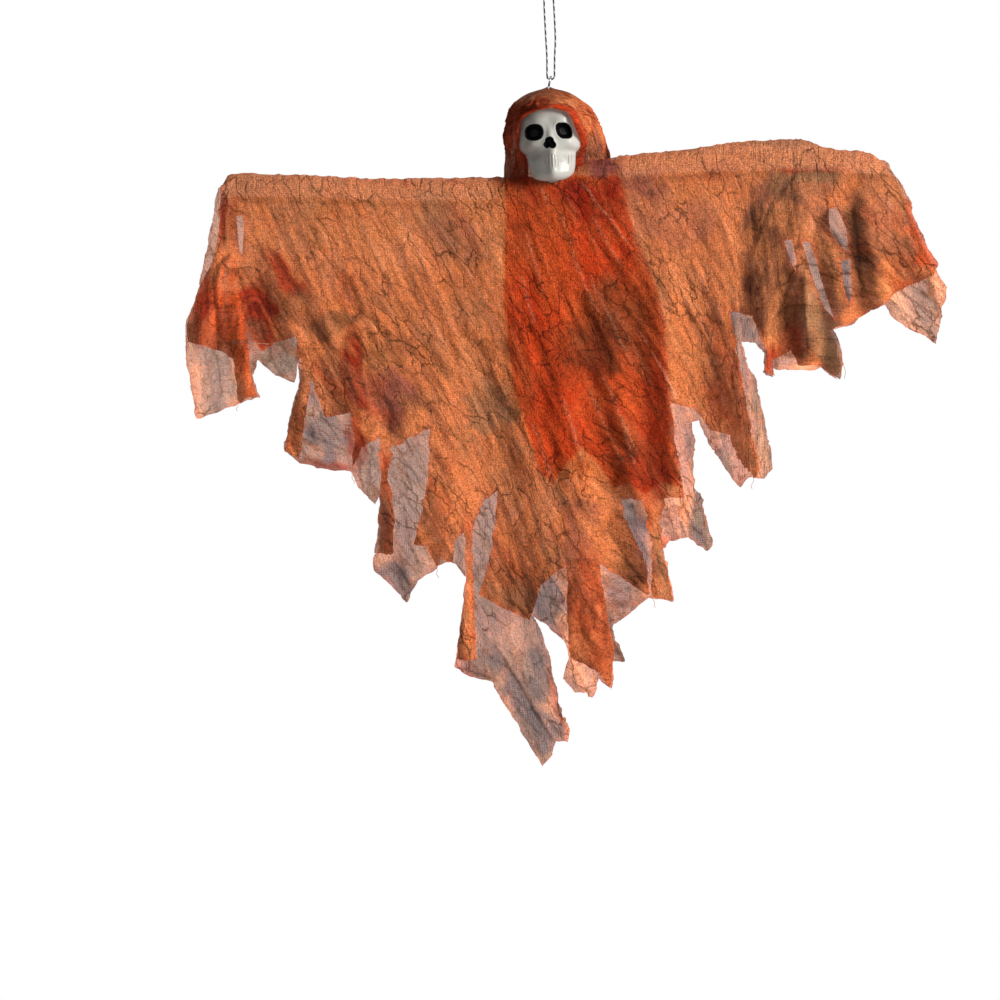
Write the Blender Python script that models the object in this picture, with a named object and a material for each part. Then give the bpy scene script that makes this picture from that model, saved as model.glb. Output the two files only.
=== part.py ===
"""Hanging fabric ghost: a small skull on a cord, with wire arms and a torn gauze robe.

Frame: X to the viewer's right, the face looks along -Y, +Z up. The origin is the top of
the hanging loop, right under the cord's knot. Units are metres; the lists that end in _MM
hold hand-chosen points in millimetres.
"""
import math

import bmesh
import bpy
from mathutils import Vector
from mathutils.geometry import delaunay_2d_cdt

for item in list(bpy.data.objects):
    bpy.data.objects.remove(item, do_unlink=True)

MM = 0.001

# Driving sizes
CLEARANCE = 0.0003
FACET_ALLOWANCE = 0.0004
CLOTH_THICKNESS = 0.0008

TUBE_DIAMETER = 0.0124
TUBE_BORE_CLEARANCE = 0.0003
ARM_BEND_PITCH = 0.018
WIRE_DIAMETER = 0.0020
WIRE_END_RECESS = 0.004
LEFT_TUBE_OUTER_X = -0.181
LEFT_TUBE_INNER_X = -0.009
RIGHT_TUBE_INNER_X = 0.0188
RIGHT_TUBE_OUTER_X = 0.171

CROWN_X = -0.0002
CROWN_Z = -0.0705
SKULL_ROLL = math.radians(-3.0)
NECK_DIAMETER = 0.0124
NECK_TOP = 0.036
NECK_WALL_UNDER_WIRE = 0.0045
SOCKET_WIDTH = 0.0098
SOCKET_HEIGHT = 0.0094
SOCKET_SPACING = 0.0176
SOCKET_DROP = 0.0229
SOCKET_DEPTH = 0.0038
SOCKET_PROUD = 0.0009
FACE_FRONT = 0.0207
NOSE_DROP = 0.0292
NOSE_LOBE_RADIUS = 0.0021
NOSE_LOBE_SPACING = 0.0034
NOSE_LOBE_OFFSET = 0.0012
NOSE_TIP_SCALE = 1.15
NOSE_DEPTH = 0.0030

EYE_WIRE_DIAMETER = 0.0012
EYE_RING_RADIUS = 0.0030
EYE_SHANK_X = 0.0006
EYE_STANDOFF = 0.0032
EYE_LEAN = math.radians(12)
EYE_SHANK_DEPTH = 0.008
EYE_OPENING = 0.0004
EYE_BEND = math.radians(10)
EYE_TIP_LENGTH = 0.002

CORD_DIAMETER = 0.0010
KNOT_SCALE = 0.00064
KNOT_OPENING = math.radians(12.6)

SKULL_COLUMNS = 32
SKULL_ROW_PITCH_MM = 2.2
TUBE_SIDES = 14
HOOD_COLUMNS = 26
GRID_PITCH = 0.0125
HEM_PITCH = 0.0125
GRID_REACH_X = (-0.22, 0.24)
ROBE_DROP = 0.36
TAIL_STRETCH_ROW = -222

# Line of both arms seen from the front: (x, z)
ARM_ROUTE_MM = [
    (-215, -125.5), (-182, -125.6), (-143, -126.4), (-85, -128.3), (-30, -127.7), (-9, -127.2),
    (4, -124.0), (18.8, -119.7), (30, -117.2), (43, -114.9), (65, -113.2), (88, -111.9),
    (146, -110.2), (171, -111.5), (195, -112.8), (235, -113.5)]

# How far the top fold of the robe stands off a tight wrap: (x, slack)
RIDGE_SLACK_MM = [
    (-188, -6.3), (-185, -1.4), (-182, 0.5), (-143, 0.3), (-100, 0), (-30, 0.4), (36, 0),
    (60, 0.2), (88, 1.8), (104, 3.6), (131, 4.6), (146, 4.7), (158, 1.3), (169, 0), (181, -0.2),
    (189, -2), (192, -4.4)]

# Skull sections: (drop below the crown, half width, front, back)
SKULL_SECTIONS_MM = [
    (0.9, 6.2, 6.4, 7.0), (3.0, 10.8, 11.4, 12.8), (6.5, 14.8, 15.6, 17.2), (11.5, 17.7, 18.4, 20.2),
    (17.5, 19.0, 20.2, 21.8), (24, 18.6, 20.7, 21.6), (29, 18.1, 20.4, 19.6), (33, 17.2, 20.2, 16.2),
    (36, 14.8, 19.8, 11.6), (40, 14.2, 20.0, 5.2), (44, 13.8, 20.3, 3.6), (47.5, 12.9, 20.2, 0.0),
    (50.2, 10.4, 19.4, -6.0), (52.1, 6.2, 17.4, -10.5)]
SKULL_CHIN_MM = (52.9, -14.0)

# Soft swellings of the face: (x, drop, half width, half height, height), each on both sides
FACE_SWELLINGS_MM = [
    (7.6, 17.0, 5.5, 2.4, 1.1), (0, 23.5, 2.4, 5.0, 1.3), (12.0, 31.0, 4.6, 3.2, 1.6),
    (11.5, 37.5, 3.6, 2.6, -1.2), (0, 38.5, 6.5, 6.0, 0.9), (0, 45.5, 1.8, 6.0, 0.8),
    (0, 50.0, 5.0, 2.4, 0.7)]

# Hood wrap: (z, left x, right x, front, back), the depths from the head's middle
HOOD_ROWS_MM = [
    (-69.0, -1.0, 2.2, 1.6, 1.6), (-69.3, -4.0, 6.2, 5.2, 5.2), (-70.3, -8.4, 10.8, 9.8, 9.8),
    (-72.3, -13.2, 15.2, 14.0, 14.6), (-75.4, -17.6, 19.6, 18.0, 19.0), (-80.3, -21.3, 25.0, 21.2, 23.0),
    (-81.4, -21.8, 25.6, 21.6, 23.6), (-83.6, -22.5, 27.0, 22.2, 24.6), (-87.5, -23.4, 28.8, 22.6, 25.8),
    (-92.0, -24.5, 30.7, 22.6, 26.6), (-96.5, -25.0, 32.2, 22.4, 26.8), (-101, -24.6, 33.6, 22.0, 26.4),
    (-105.5, -24.2, 35.4, 21.5, 25.6), (-109.5, -24.6, 36.4, 21.0, 24.5), (-114, -25.2, 36.6, 20.5, 24.0),
    (-119, -25.2, 37.0, 20.0, 24.0), (-126, -25.4, 38.5, 20, 24), (-134, -26.0, 43.4, 20, 24),
    (-150, -26.4, 48.6, 20, 24), (-164, -26.4, 51.8, 20, 24), (-180, -26.2, 59.0, 20, 24),
    (-200, -25.6, 65.0, 20, 24), (-222, -24.4, 66.8, 20, 24), (-246, -20.6, 68.6, 20, 24),
    (-270, -11.6, 72.0, 20, 24), (-290, -3.0, 75.4, 20, 24)]

# Half width of the face opening in the hood: (z, half width)
OPENING_MM = [
    (-60, 0), (-80.3, 0), (-81.4, 6.6), (-83.6, 11.8), (-87.5, 16.2), (-92, 17.6), (-101, 17.6),
    (-105.5, 16.6), (-114, 15.6), (-300, 15.6)]

# Torn lower edge of the hood's tail: (x, z) that the last row follows
TAIL_HEM_MM = [
    (-3, -291), (3, -297), (9, -288), (19, -276), (28, -284), (38, -299), (47, -297), (56, -303),
    (66, -296), (76, -299)]

# Neck slit of the robe, front edge then back edge, from left to right
NECK_FRONT_MM = [(-19, -120.9), (-13, -121.6), (-6, -123.0), (1, -123.5), (7, -122.8), (12, -121.2),
                 (17.6, -117.2), (22, -113.0)]
NECK_BACK_MM = [(-28.5, -127.0), (-22, -131.0), (-10, -133.5), (8, -132.5), (26, -128.0), (38, -123.5),
                (41, -117.0)]
NECK_ENDS_X_MM = (-28, 41)

# Front layer of the robe below the arms, from the left sleeve to the right one
FRONT_OUTLINE_MM = [
    # left sleeve end with its turned flap
    (-189, -136), (-190, -153), (-192, -166), (-198, -178), (-203, -191), (-208, -205), (-208, -216),
    (-199, -217), (-187, -221), (-181, -225), (-178, -250), (-167, -247), (-171, -232), (-173, -208),
    (-165, -221), (-158, -216), (-145, -212),
    # first strip, turned in along its outer edge
    (-143, -237), (-149, -260), (-152, -277), (-143, -284), (-141, -266), (-136, -237), (-128, -259),
    (-113, -256), (-111, -272), (-113, -290), (-107, -276), (-97, -270),
    # second strip
    (-96, -289), (-98, -324), (-100, -337), (-89, -337), (-88, -318), (-92, -289), (-90, -276),
    (-68, -265), (-69, -295), (-77, -332), (-70, -333), (-64, -344), (-55, -342), (-53, -329), (-48, -324),
    # edge band of the long tip and the slit beside it
    (-47, -351), (-49, -367), (-53, -398), (-41, -398), (-43, -350), (-44, -324), (-36, -306), (-29, -301),
    (-30, -318), (-34, -341), (-40, -361),
    # middle hem and its narrow strip
    (-25, -369), (-10, -376), (-4, -355), (11, -343), (11, -376), (13, -397), (30, -406), (37, -416),
    (38, -393), (33, -364), (30, -343), (45, -353), (58, -361),
    # slit and pointed strip right of the middle
    (57, -344), (48, -324), (42, -306), (55, -306), (59, -329), (60, -362), (72, -365), (67, -338),
    (64, -318), (67, -305), (79, -305),
    # long strip under the right arm
    (74, -280), (71, -251), (84, -253), (93, -265), (105, -269), (108, -280), (118, -294), (121, -289),
    (118, -272), (112, -240), (107, -211), (105, -198), (118, -200), (121, -211),
    # right sleeve
    (126, -221), (125, -232), (131, -235), (129, -226), (140, -220), (144, -229), (156, -229), (168, -237),
    (170, -228), (168, -217), (164, -208), (176, -204), (186, -197), (196, -192), (200, -187), (212, -181),
    (222, -177), (225, -171), (218, -159), (211, -143), (210, -135), (204, -124), (198, -116)]

# Back layer of the robe, which reaches lower nearly everywhere
BACK_OUTLINE_MM = [
    # left sleeve end
    (-193, -135), (-196, -151), (-200, -172), (-204, -191), (-210, -205), (-210, -224), (-207, -239),
    (-204, -259), (-182, -252), (-167, -247), (-171, -234), (-168, -225), (-158, -234), (-147, -238),
    (-143, -221),
    # first strip and the small one behind it
    (-144, -240), (-148, -253), (-152, -272), (-153, -278), (-145, -284), (-134, -288), (-114, -290),
    (-110, -299), (-100, -309), (-97, -302),
    # second strip
    (-98, -324), (-97, -332), (-101, -339), (-101, -347), (-92, -355), (-82, -366), (-75, -353), (-64, -346),
    (-62, -340), (-55, -343), (-47, -351),
    # long tip
    (-49, -370), (-53, -396), (-54, -403), (-45, -409), (-32, -412), (-27, -422), (-16, -439), (-3, -461),
    (3, -454), (5, -446), (12, -447), (13, -439), (7, -425), (1, -396), (-4, -381), (-8, -374),
    # middle hem
    (0, -379), (10, -389), (12, -396), (9, -410), (16, -418), (26, -421), (30, -410), (37, -417),
    (38, -400), (45, -400), (38, -380), (49, -371), (59, -363), (74, -365), (70, -347), (66, -335),
    # strip right of the middle
    (71, -330), (82, -328), (93, -336), (96, -331), (90, -309), (85, -292), (86, -277), (84, -261),
    (88, -260),
    # long strip under the right arm
    (93, -272), (99, -281), (107, -294), (112, -299), (117, -293), (126, -294), (131, -288), (129, -272),
    (124, -249), (116, -224), (113, -214), (121, -215),
    # right sleeve
    (126, -221), (125, -232), (131, -235), (128, -228), (134, -231), (155, -231), (159, -229), (168, -237),
    (170, -228), (168, -217), (164, -208), (176, -205), (186, -197), (196, -193), (200, -200), (208, -206),
    (220, -211), (226, -216), (229, -198), (232, -183), (225, -172), (218, -159), (211, -143), (210, -135),
    (204, -124), (199, -116)]

# Folds of each layer: (top x, top z, bottom x, bottom z, half width, height)
FRONT_FOLDS_MM = [
    (-187, -140, -204, -235, 7, 6), (-184, -160, -171, -250, 8, 9), (-166, -140, -144, -215, 9, 5),
    (-152, -132, -100, -285, 12, 7), (-112, -136, -62, -335, 12, 6), (-72, -136, -46, -390, 12, 7),
    (-32, -140, 2, -360, 12, 6), (-4, -132, 28, -400, 12, 8), (18, -130, 60, -350, 10, 6),
    (58, -125, 76, -300, 11, 6), (94, -125, 115, -290, 10, 7), (128, -114, 122, -225, 8, 7),
    (145, -114, 150, -230, 7, 9), (161, -114, 170, -228, 7, 8), (179, -116, 192, -195, 8, 8),
    (200, -135, 224, -190, 8, 5)]
BACK_FOLDS_MM = [
    (-190, -140, -198, -255, 9, 6), (-160, -138, -150, -275, 12, 7), (-122, -138, -106, -300, 12, 6),
    (-84, -140, -86, -360, 12, 7), (-44, -145, -42, -405, 12, 6), (-4, -150, -18, -450, 12, 8),
    (36, -145, 34, -415, 12, 6), (78, -130, 84, -325, 12, 7), (116, -125, 122, -290, 10, 6),
    (152, -120, 158, -235, 10, 7), (194, -128, 216, -208, 11, 7)]
TAIL_PLEATS_MM = [
    (-14, -135, -6, -290, 8, 3.5), (6, -135, 20, -280, 7, 4), (26, -138, 46, -300, 8, 4),
    (44, -160, 68, -300, 8, 3)]

# Cord: from the knot down the left strand, through the eye and up the right strand
LEFT_STRAND_MM = [(-0.62, -0.5), (-1.3, -8), (-2.0, -18), (-1.2, -36), (-0.4, -50)]
RIGHT_STRAND_MM = [(4.1, -50), (4.5, -40), (3.9, -26), (3.2, -16), (1.7, -6.5), (0.62, -0.5)]
LOOP_TURN_RADIUS = 0.0021


def through(points, x):
    """Smooth value at x of a curve through (x, value) pairs, in the pairs' own units."""
    pairs = sorted(points)
    if x <= pairs[0][0]:
        return pairs[0][1]
    if x >= pairs[-1][0]:
        return pairs[-1][1]
    k = max(i for i in range(len(pairs) - 1) if pairs[i][0] <= x)
    (x0, a), (x1, b) = pairs[k], pairs[k + 1]

    def slope(i):
        if i <= 0 or i >= len(pairs) - 1:
            return 0.0
        before = (pairs[i][1] - pairs[i - 1][1]) / (pairs[i][0] - pairs[i - 1][0])
        after = (pairs[i + 1][1] - pairs[i][1]) / (pairs[i + 1][0] - pairs[i][0])
        if before * after <= 0:
            return 0.0
        return 2 * before * after / (before + after)

    span = x1 - x0
    t = (x - x0) / span
    m0, m1 = slope(k) * span, slope(k + 1) * span
    return ((2 * t**3 - 3 * t**2 + 1) * a + (t**3 - 2 * t**2 + t) * m0
            + (3 * t**2 - 2 * t**3) * b + (t**3 - t**2) * m1)


def smooth_step(start, end, x):
    t = min(1.0, max(0.0, (x - start) / (end - start)))
    return t * t * (3 - 2 * t)


def painted(obj, name, colour, roughness, metallic=0.0):
    """Give an object its own material."""
    material = bpy.data.materials.new(name)
    material.use_nodes = True
    shader = material.node_tree.nodes["Principled BSDF"]
    shader.inputs["Base Color"].default_value = (*colour, 1.0)
    shader.inputs["Roughness"].default_value = roughness
    shader.inputs["Metallic"].default_value = metallic
    obj.data.materials.append(material)


def mesh_object(name, bm):
    """Turn a bmesh into a named object with its faces pointing out."""
    bmesh.ops.recalc_face_normals(bm, faces=bm.faces)
    mesh = bpy.data.meshes.new(name)
    bm.to_mesh(mesh)
    bm.free()
    obj = bpy.data.objects.new(name, mesh)
    bpy.context.scene.collection.objects.link(obj)
    return obj


def smooth(obj, angle=40):
    obj.data.shade_smooth()
    obj.data.set_sharp_from_angle(angle=math.radians(angle))


def boolean(obj, other, operation):
    """Cut or join another object, which then stays behind as a guide only."""
    other.hide_render = True
    other.display_type = "WIRE"
    modifier = obj.modifiers.new(other.name, "BOOLEAN")
    modifier.operation = operation
    modifier.object = other


def swept(name, path, radii, sides, plane_normal, bore_radius=0.0):
    """Round bar or tube along a path that lies in one plane."""
    bm = bmesh.new()
    across = plane_normal.normalized()

    def rings(scale):
        made = []
        for i, point in enumerate(path):
            ahead = path[min(i + 1, len(path) - 1)] - path[max(i - 1, 0)]
            up = across.cross(ahead.normalized())
            ring = []
            for k in range(sides):
                a = 2 * math.pi * (k + 0.5) / sides
                ring.append(bm.verts.new(point + scale(i) * (math.cos(a) * up + math.sin(a) * across)))
            made.append(ring)
        return made

    def wall(made):
        for low, high in zip(made, made[1:]):
            for k in range(sides):
                bm.faces.new((low[k], low[(k + 1) % sides], high[(k + 1) % sides], high[k]))

    outer = rings(lambda i: radii[i])
    wall(outer)
    if bore_radius:
        inner = rings(lambda i: bore_radius)
        wall(inner)
        for end in (0, -1):
            for k in range(sides):
                n = (k + 1) % sides
                bm.faces.new((outer[end][k], outer[end][n], inner[end][n], inner[end][k]))
    else:
        bm.faces.new(outer[0])
        bm.faces.new(outer[-1])
    return mesh_object(name, bm)


# Arms

def arm_z(x):
    return through(ARM_ROUTE_MM, x / MM) * MM


def arm_path(start, end, pitch):
    count = max(3, math.ceil((end - start) / pitch))
    stations = [start + (end - start) * i / count for i in range(count + 1)]
    return [Vector((x, 0, arm_z(x))) for x in stations]


def build_arms():
    bore = WIRE_DIAMETER / 2 + TUBE_BORE_CLEARANCE
    for name, start, end in (("arm_tube_left", LEFT_TUBE_OUTER_X, LEFT_TUBE_INNER_X),
                             ("arm_tube_right", RIGHT_TUBE_INNER_X, RIGHT_TUBE_OUTER_X)):
        path = arm_path(start, end, ARM_BEND_PITCH)
        tube = swept(name, path, [TUBE_DIAMETER / 2] * len(path), TUBE_SIDES, Vector((0, 1, 0)), bore)
        smooth(tube)
        painted(tube, name, (0.78, 0.70, 0.60), 0.6)
    path = arm_path(LEFT_TUBE_OUTER_X + WIRE_END_RECESS, RIGHT_TUBE_OUTER_X - WIRE_END_RECESS,
                    ARM_BEND_PITCH)
    wire = swept("arm_wire", path, [WIRE_DIAMETER / 2] * len(path), 8, Vector((0, 1, 0)))
    smooth(wire)
    painted(wire, "arm_wire", (0.45, 0.45, 0.46), 0.35, 1.0)


# Skull

def face_depth(x, y, drop):
    """Depth of a point of the plain head, pushed in or out by the face's swellings."""
    if y >= 0:
        return y
    for sx, sd, wide, high, height in FACE_SWELLINGS_MM:
        for side in ((-1, 1) if sx else (1,)):
            away = ((x / MM - side * sx) / wide) ** 2 + ((drop / MM - sd) / high) ** 2
            y -= height * MM * math.exp(-away) * smooth_step(0, -0.009, y)
    return y


def build_skull():
    bm = bmesh.new()
    drops = [row[0] for row in SKULL_SECTIONS_MM]
    rows = []
    count = round((drops[-1] - drops[0]) / SKULL_ROW_PITCH_MM)
    for drop in [drops[0] + (drops[-1] - drops[0]) * k / count for k in range(count + 1)]:
        half, front, back = (through([(row[0], row[i]) for row in SKULL_SECTIONS_MM], drop) * MM
                             for i in (1, 2, 3))
        middle, depth = (back - front) / 2, (back + front) / 2
        ring = []
        for k in range(SKULL_COLUMNS):
            a = 2 * math.pi * k / SKULL_COLUMNS
            x = half * math.copysign(abs(math.sin(a)) ** 0.88, math.sin(a))
            y = middle - depth * math.copysign(abs(math.cos(a)) ** 0.88, math.cos(a))
            ring.append(bm.verts.new((x, face_depth(x, y, drop * MM), -drop * MM)))
        rows.append(ring)
    for low, high in zip(rows, rows[1:]):
        for k in range(SKULL_COLUMNS):
            bm.faces.new((low[k], low[(k + 1) % SKULL_COLUMNS], high[(k + 1) % SKULL_COLUMNS], high[k]))
    crown = bm.verts.new((0, 0, 0))
    chin = bm.verts.new((0, SKULL_CHIN_MM[1] * MM, -SKULL_CHIN_MM[0] * MM))
    for k in range(SKULL_COLUMNS):
        bm.faces.new((rows[0][k], rows[0][(k + 1) % SKULL_COLUMNS], crown))
        bm.faces.new((rows[-1][k], rows[-1][(k + 1) % SKULL_COLUMNS], chin))
    skull = mesh_object("skull", bm)
    skull.location = (CROWN_X, 0, CROWN_Z)
    skull.rotation_euler = (0, SKULL_ROLL, 0)
    smooth(skull, 50)
    painted(skull, "skull_gloss_white", (0.80, 0.78, 0.74), 0.12)
    return skull


def round_cutter(name, radius, location, scale, parent=None):
    bm = bmesh.new()
    bmesh.ops.create_uvsphere(bm, u_segments=18, v_segments=9, radius=radius)
    for vert in bm.verts:
        vert.co = Vector((vert.co.x * scale[0], vert.co.y * scale[1], vert.co.z * scale[2]))
    cutter = mesh_object(name, bm)
    cutter.location = location
    cutter.parent = parent
    return cutter


def cut_face(skull):
    for side, name in ((-1, "left"), (1, "right")):
        place = (side * SOCKET_SPACING / 2, SOCKET_PROUD - FACE_FRONT, -SOCKET_DROP)
        size = (SOCKET_WIDTH / 2, SOCKET_DEPTH, SOCKET_HEIGHT / 2)
        boolean(skull, round_cutter(f"{name}_socket_cutter", 1.0, place, size, skull), "DIFFERENCE")
    aside = NOSE_LOBE_SPACING / 2
    lobes = ((-aside, NOSE_LOBE_OFFSET, 1.0), (aside, NOSE_LOBE_OFFSET, 1.0),
             (0.0, -NOSE_LOBE_OFFSET, NOSE_TIP_SCALE))
    for n, (x, lower, scale) in enumerate(lobes):
        place = (x, -FACE_FRONT, -NOSE_DROP - lower)
        size = (NOSE_LOBE_RADIUS * scale, NOSE_DEPTH, NOSE_LOBE_RADIUS * scale)
        boolean(skull, round_cutter(f"nose_cutter_{n}", 1.0, place, size, skull), "DIFFERENCE")


def add_neck(skull):
    """A short stub under the head; the arm wire runs through it."""
    below = CROWN_Z - arm_z(0) + WIRE_DIAMETER / 2 + NECK_WALL_UNDER_WIRE
    path = [Vector((0, 0, -NECK_TOP)), Vector((0, 0, -(NECK_TOP + below) / 2)), Vector((0, 0, -below))]
    neck = swept("neck_stub", path, [NECK_DIAMETER / 2] * 3, 20, Vector((0, 1, 0)))
    neck.parent = skull
    boolean(skull, neck, "UNION")
    reach = NECK_DIAMETER
    path = arm_path(arm_centre_x() - reach, arm_centre_x() + reach, 0.004)
    radius = WIRE_DIAMETER / 2 + CLEARANCE
    hole = swept("wire_hole_cutter", path, [radius] * len(path), 8, Vector((0, 1, 0)))
    boolean(skull, hole, "DIFFERENCE")


def arm_centre_x():
    """Where the neck stub crosses the line of the arms."""
    return CROWN_X + (CROWN_Z - arm_z(0)) * math.sin(-SKULL_ROLL)


# Screw eye

def build_screw_eye(skull):
    radius = EYE_WIRE_DIAMETER / 2
    base = Vector((EYE_SHANK_X, 0, CROWN_Z + EYE_STANDOFF))
    up = Vector((math.sin(EYE_LEAN), 0, math.cos(EYE_LEAN)))
    side = Vector((math.cos(EYE_LEAN), 0, -math.sin(EYE_LEAN)))
    centre = base + up * EYE_RING_RADIUS
    tip = EYE_STANDOFF + EYE_SHANK_DEPTH
    path = [base - up * tip, base - up * (tip - EYE_TIP_LENGTH), base - up * EYE_STANDOFF,
            base - up * radius]
    radii = [radius * 0.25] + [radius] * 3
    gap = (EYE_WIRE_DIAMETER + EYE_OPENING) / EYE_RING_RADIUS
    turns = 20
    for i in range(turns + 1):
        a = -math.pi / 2 + EYE_BEND + (2 * math.pi - gap - EYE_BEND) * i / turns
        path.append(centre + EYE_RING_RADIUS * (Vector((0, math.cos(a), 0)) + up * math.sin(a)))
        radii.append(radius)
    eye = swept("screw_eye", path, radii, 8, side)
    smooth(eye)
    painted(eye, "screw_eye", (0.55, 0.54, 0.52), 0.3, 1.0)
    hole_path = [base + up * z for z in (EYE_STANDOFF, -EYE_STANDOFF, -tip - CLEARANCE)]
    hole = swept("shank_hole_cutter", hole_path, [radius + CLEARANCE] * 3, 8, side)
    boolean(skull, hole, "DIFFERENCE")
    return base + up * 2 * EYE_RING_RADIUS


# Cord and knot

def cord_curve(name, points):
    data = bpy.data.curves.new(name, "CURVE")
    data.dimensions = "3D"
    data.bevel_depth = CORD_DIAMETER / 2
    data.bevel_resolution = 2
    data.use_fill_caps = True
    spline = data.splines.new("POLY")
    spline.points.add(len(points) - 1)
    for target, point in zip(spline.points, points):
        target.co = (*point, 1)
    obj = bpy.data.objects.new(name, data)
    bpy.context.scene.collection.objects.link(obj)
    painted(obj, name, (0.02, 0.02, 0.02), 0.7)
    return obj


def smooth_route(points, per_span):
    """Points read from a smooth curve through the route's own points."""
    ends = [points[0] * 2 - points[1]] + points + [points[-1] * 2 - points[-2]]
    made = []
    for a, b, c, d in zip(ends, ends[1:], ends[2:], ends[3:]):
        for i in range(per_span):
            t = i / per_span
            made.append(0.5 * (2 * b + (c - a) * t + (2 * a - 5 * b + 4 * c - d) * t**2
                               + (3 * b - a - 3 * c + d) * t**3))
    return made + [points[-1]]


def build_cord(ring_top):
    """One cord: down from the knot, through the ring and up again."""
    turn_bottom = ring_top.z - EYE_WIRE_DIAMETER / 2 - CLEARANCE - FACET_ALLOWANCE - CORD_DIAMETER / 2
    turn = [Vector((ring_top.x - LOOP_TURN_RADIUS * math.cos(a), 0,
                    turn_bottom + LOOP_TURN_RADIUS * (1 - math.sin(a))))
            for a in (0, math.pi / 4, math.pi / 2, 3 * math.pi / 4, math.pi)]
    left = [Vector((x * MM, 0, z * MM)) for x, z in LEFT_STRAND_MM]
    right = [Vector((x * MM, 0, z * MM)) for x, z in RIGHT_STRAND_MM]
    cord_curve("hanging_cord", smooth_route(left + turn + right, 2))


def build_knot():
    """Overhand knot: an open trefoil whose two ends stand up as tails."""
    points = []
    steps = 32
    for i in range(steps + 1):
        t = math.pi + KNOT_OPENING + 2 * (math.pi - KNOT_OPENING) * i / steps
        x = math.sin(t) + 2 * math.sin(2 * t)
        y = math.cos(t) - 2 * math.cos(2 * t)
        points.append(Vector((x, 1.15 * math.sin(3 * t), -y)))
    first, last = points[0].copy(), points[-1].copy()
    tail = [(1.0, 2.2), (1.6, 5.0), (2.6, 8.0)]
    start = [first + Vector((math.copysign(out, first.x), 0, up)) for out, up in reversed(tail)]
    end = [last + Vector((math.copysign(out, last.x), 0, up)) for out, up in tail]
    raised = CORD_DIAMETER / 2 / KNOT_SCALE - min(p.z for p in points)
    placed = [(p + Vector((0, 0, raised))) * KNOT_SCALE for p in start + points + end]
    cord_curve("cord_knot", placed)


# Robe

WRAP = TUBE_DIAMETER / 2 + CLEARANCE + CLOTH_THICKNESS / 2 + FACET_ALLOWANCE
BACK_WRAP = WRAP + CLOTH_THICKNESS + CLEARANCE + FACET_ALLOWANCE
QUARTER = WRAP * math.pi / 2


def ridge_rise(x):
    return max(0.0008, WRAP + through(RIDGE_SLACK_MM, x / MM) * MM)


def fold_height(folds, x, z):
    """Sum of the folds at a place; each grows from nothing at its top to full at its foot."""
    total = 0.0
    for top_x, top_z, foot_x, foot_z, half, height in folds:
        t = (top_z * MM - z) / ((top_z - foot_z) * MM)
        if t <= 0:
            continue
        crest = (top_x + (foot_x - top_x) * min(t, 1.3)) * MM
        total += height * MM * smooth_step(0, 0.8, t) * math.exp(-((x - crest) / (half * MM)) ** 2)
    return total


def flat_place(x_mm, z_mm, side):
    """Where a point of a hanging layer lies on the flat cloth: along the arm, away from its ridge."""
    x, z = x_mm * MM, z_mm * MM
    above = z - arm_z(x)
    if above <= 0:
        return Vector((x, side * (QUARTER - above)))
    rise = ridge_rise(x)
    return Vector((x, side * QUARTER * math.acos(min(1.0, above / rise)) / (math.pi / 2)))


def draped(place):
    """Lay a point of the flat cloth over the arms, side +1 in front and -1 behind."""
    x, away = place
    run = abs(away)
    wrap = WRAP if away > 0 else BACK_WRAP
    if run <= QUARTER:
        a = run / WRAP
        y, z = wrap * math.sin(a), arm_z(x) + ridge_rise(x) * math.cos(a)
    else:
        y, z = wrap, arm_z(x) - (run - QUARTER)
    if away > 0:
        return Vector((x, -y - fold_height(FRONT_FOLDS_MM, x, z), z))
    return Vector((x, y + fold_height(BACK_FOLDS_MM, x, z), z))


def divided(loop):
    """A loop of flat points with its long sides divided, more finely where it bends over an arm."""
    made = []
    for a, b in zip(loop, loop[1:] + loop[:1]):
        bent = min(abs(a.y), abs(b.y)) < QUARTER
        pitch = QUARTER / 4 if bent and abs(a.y - b.y) > 0.001 else HEM_PITCH
        parts = max(1, math.ceil((b - a).length / pitch))
        made += [a.lerp(b, i / parts) for i in range(parts)]
    return made


def inside(point, loop):
    hit = False
    for a, b in zip(loop, loop[1:] + loop[:1]):
        if (a.y > point.y) != (b.y > point.y):
            if point.x < a.x + (point.y - a.y) * (b.x - a.x) / (b.y - a.y):
                hit = not hit
    return hit


def edge_distance(point, loop):
    best = 1.0
    for a, b in zip(loop, loop[1:] + loop[:1]):
        side = b - a
        t = min(1.0, max(0.0, (point - a).dot(side) / side.length_squared))
        best = min(best, (point - a - side * t).length)
    return best


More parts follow.
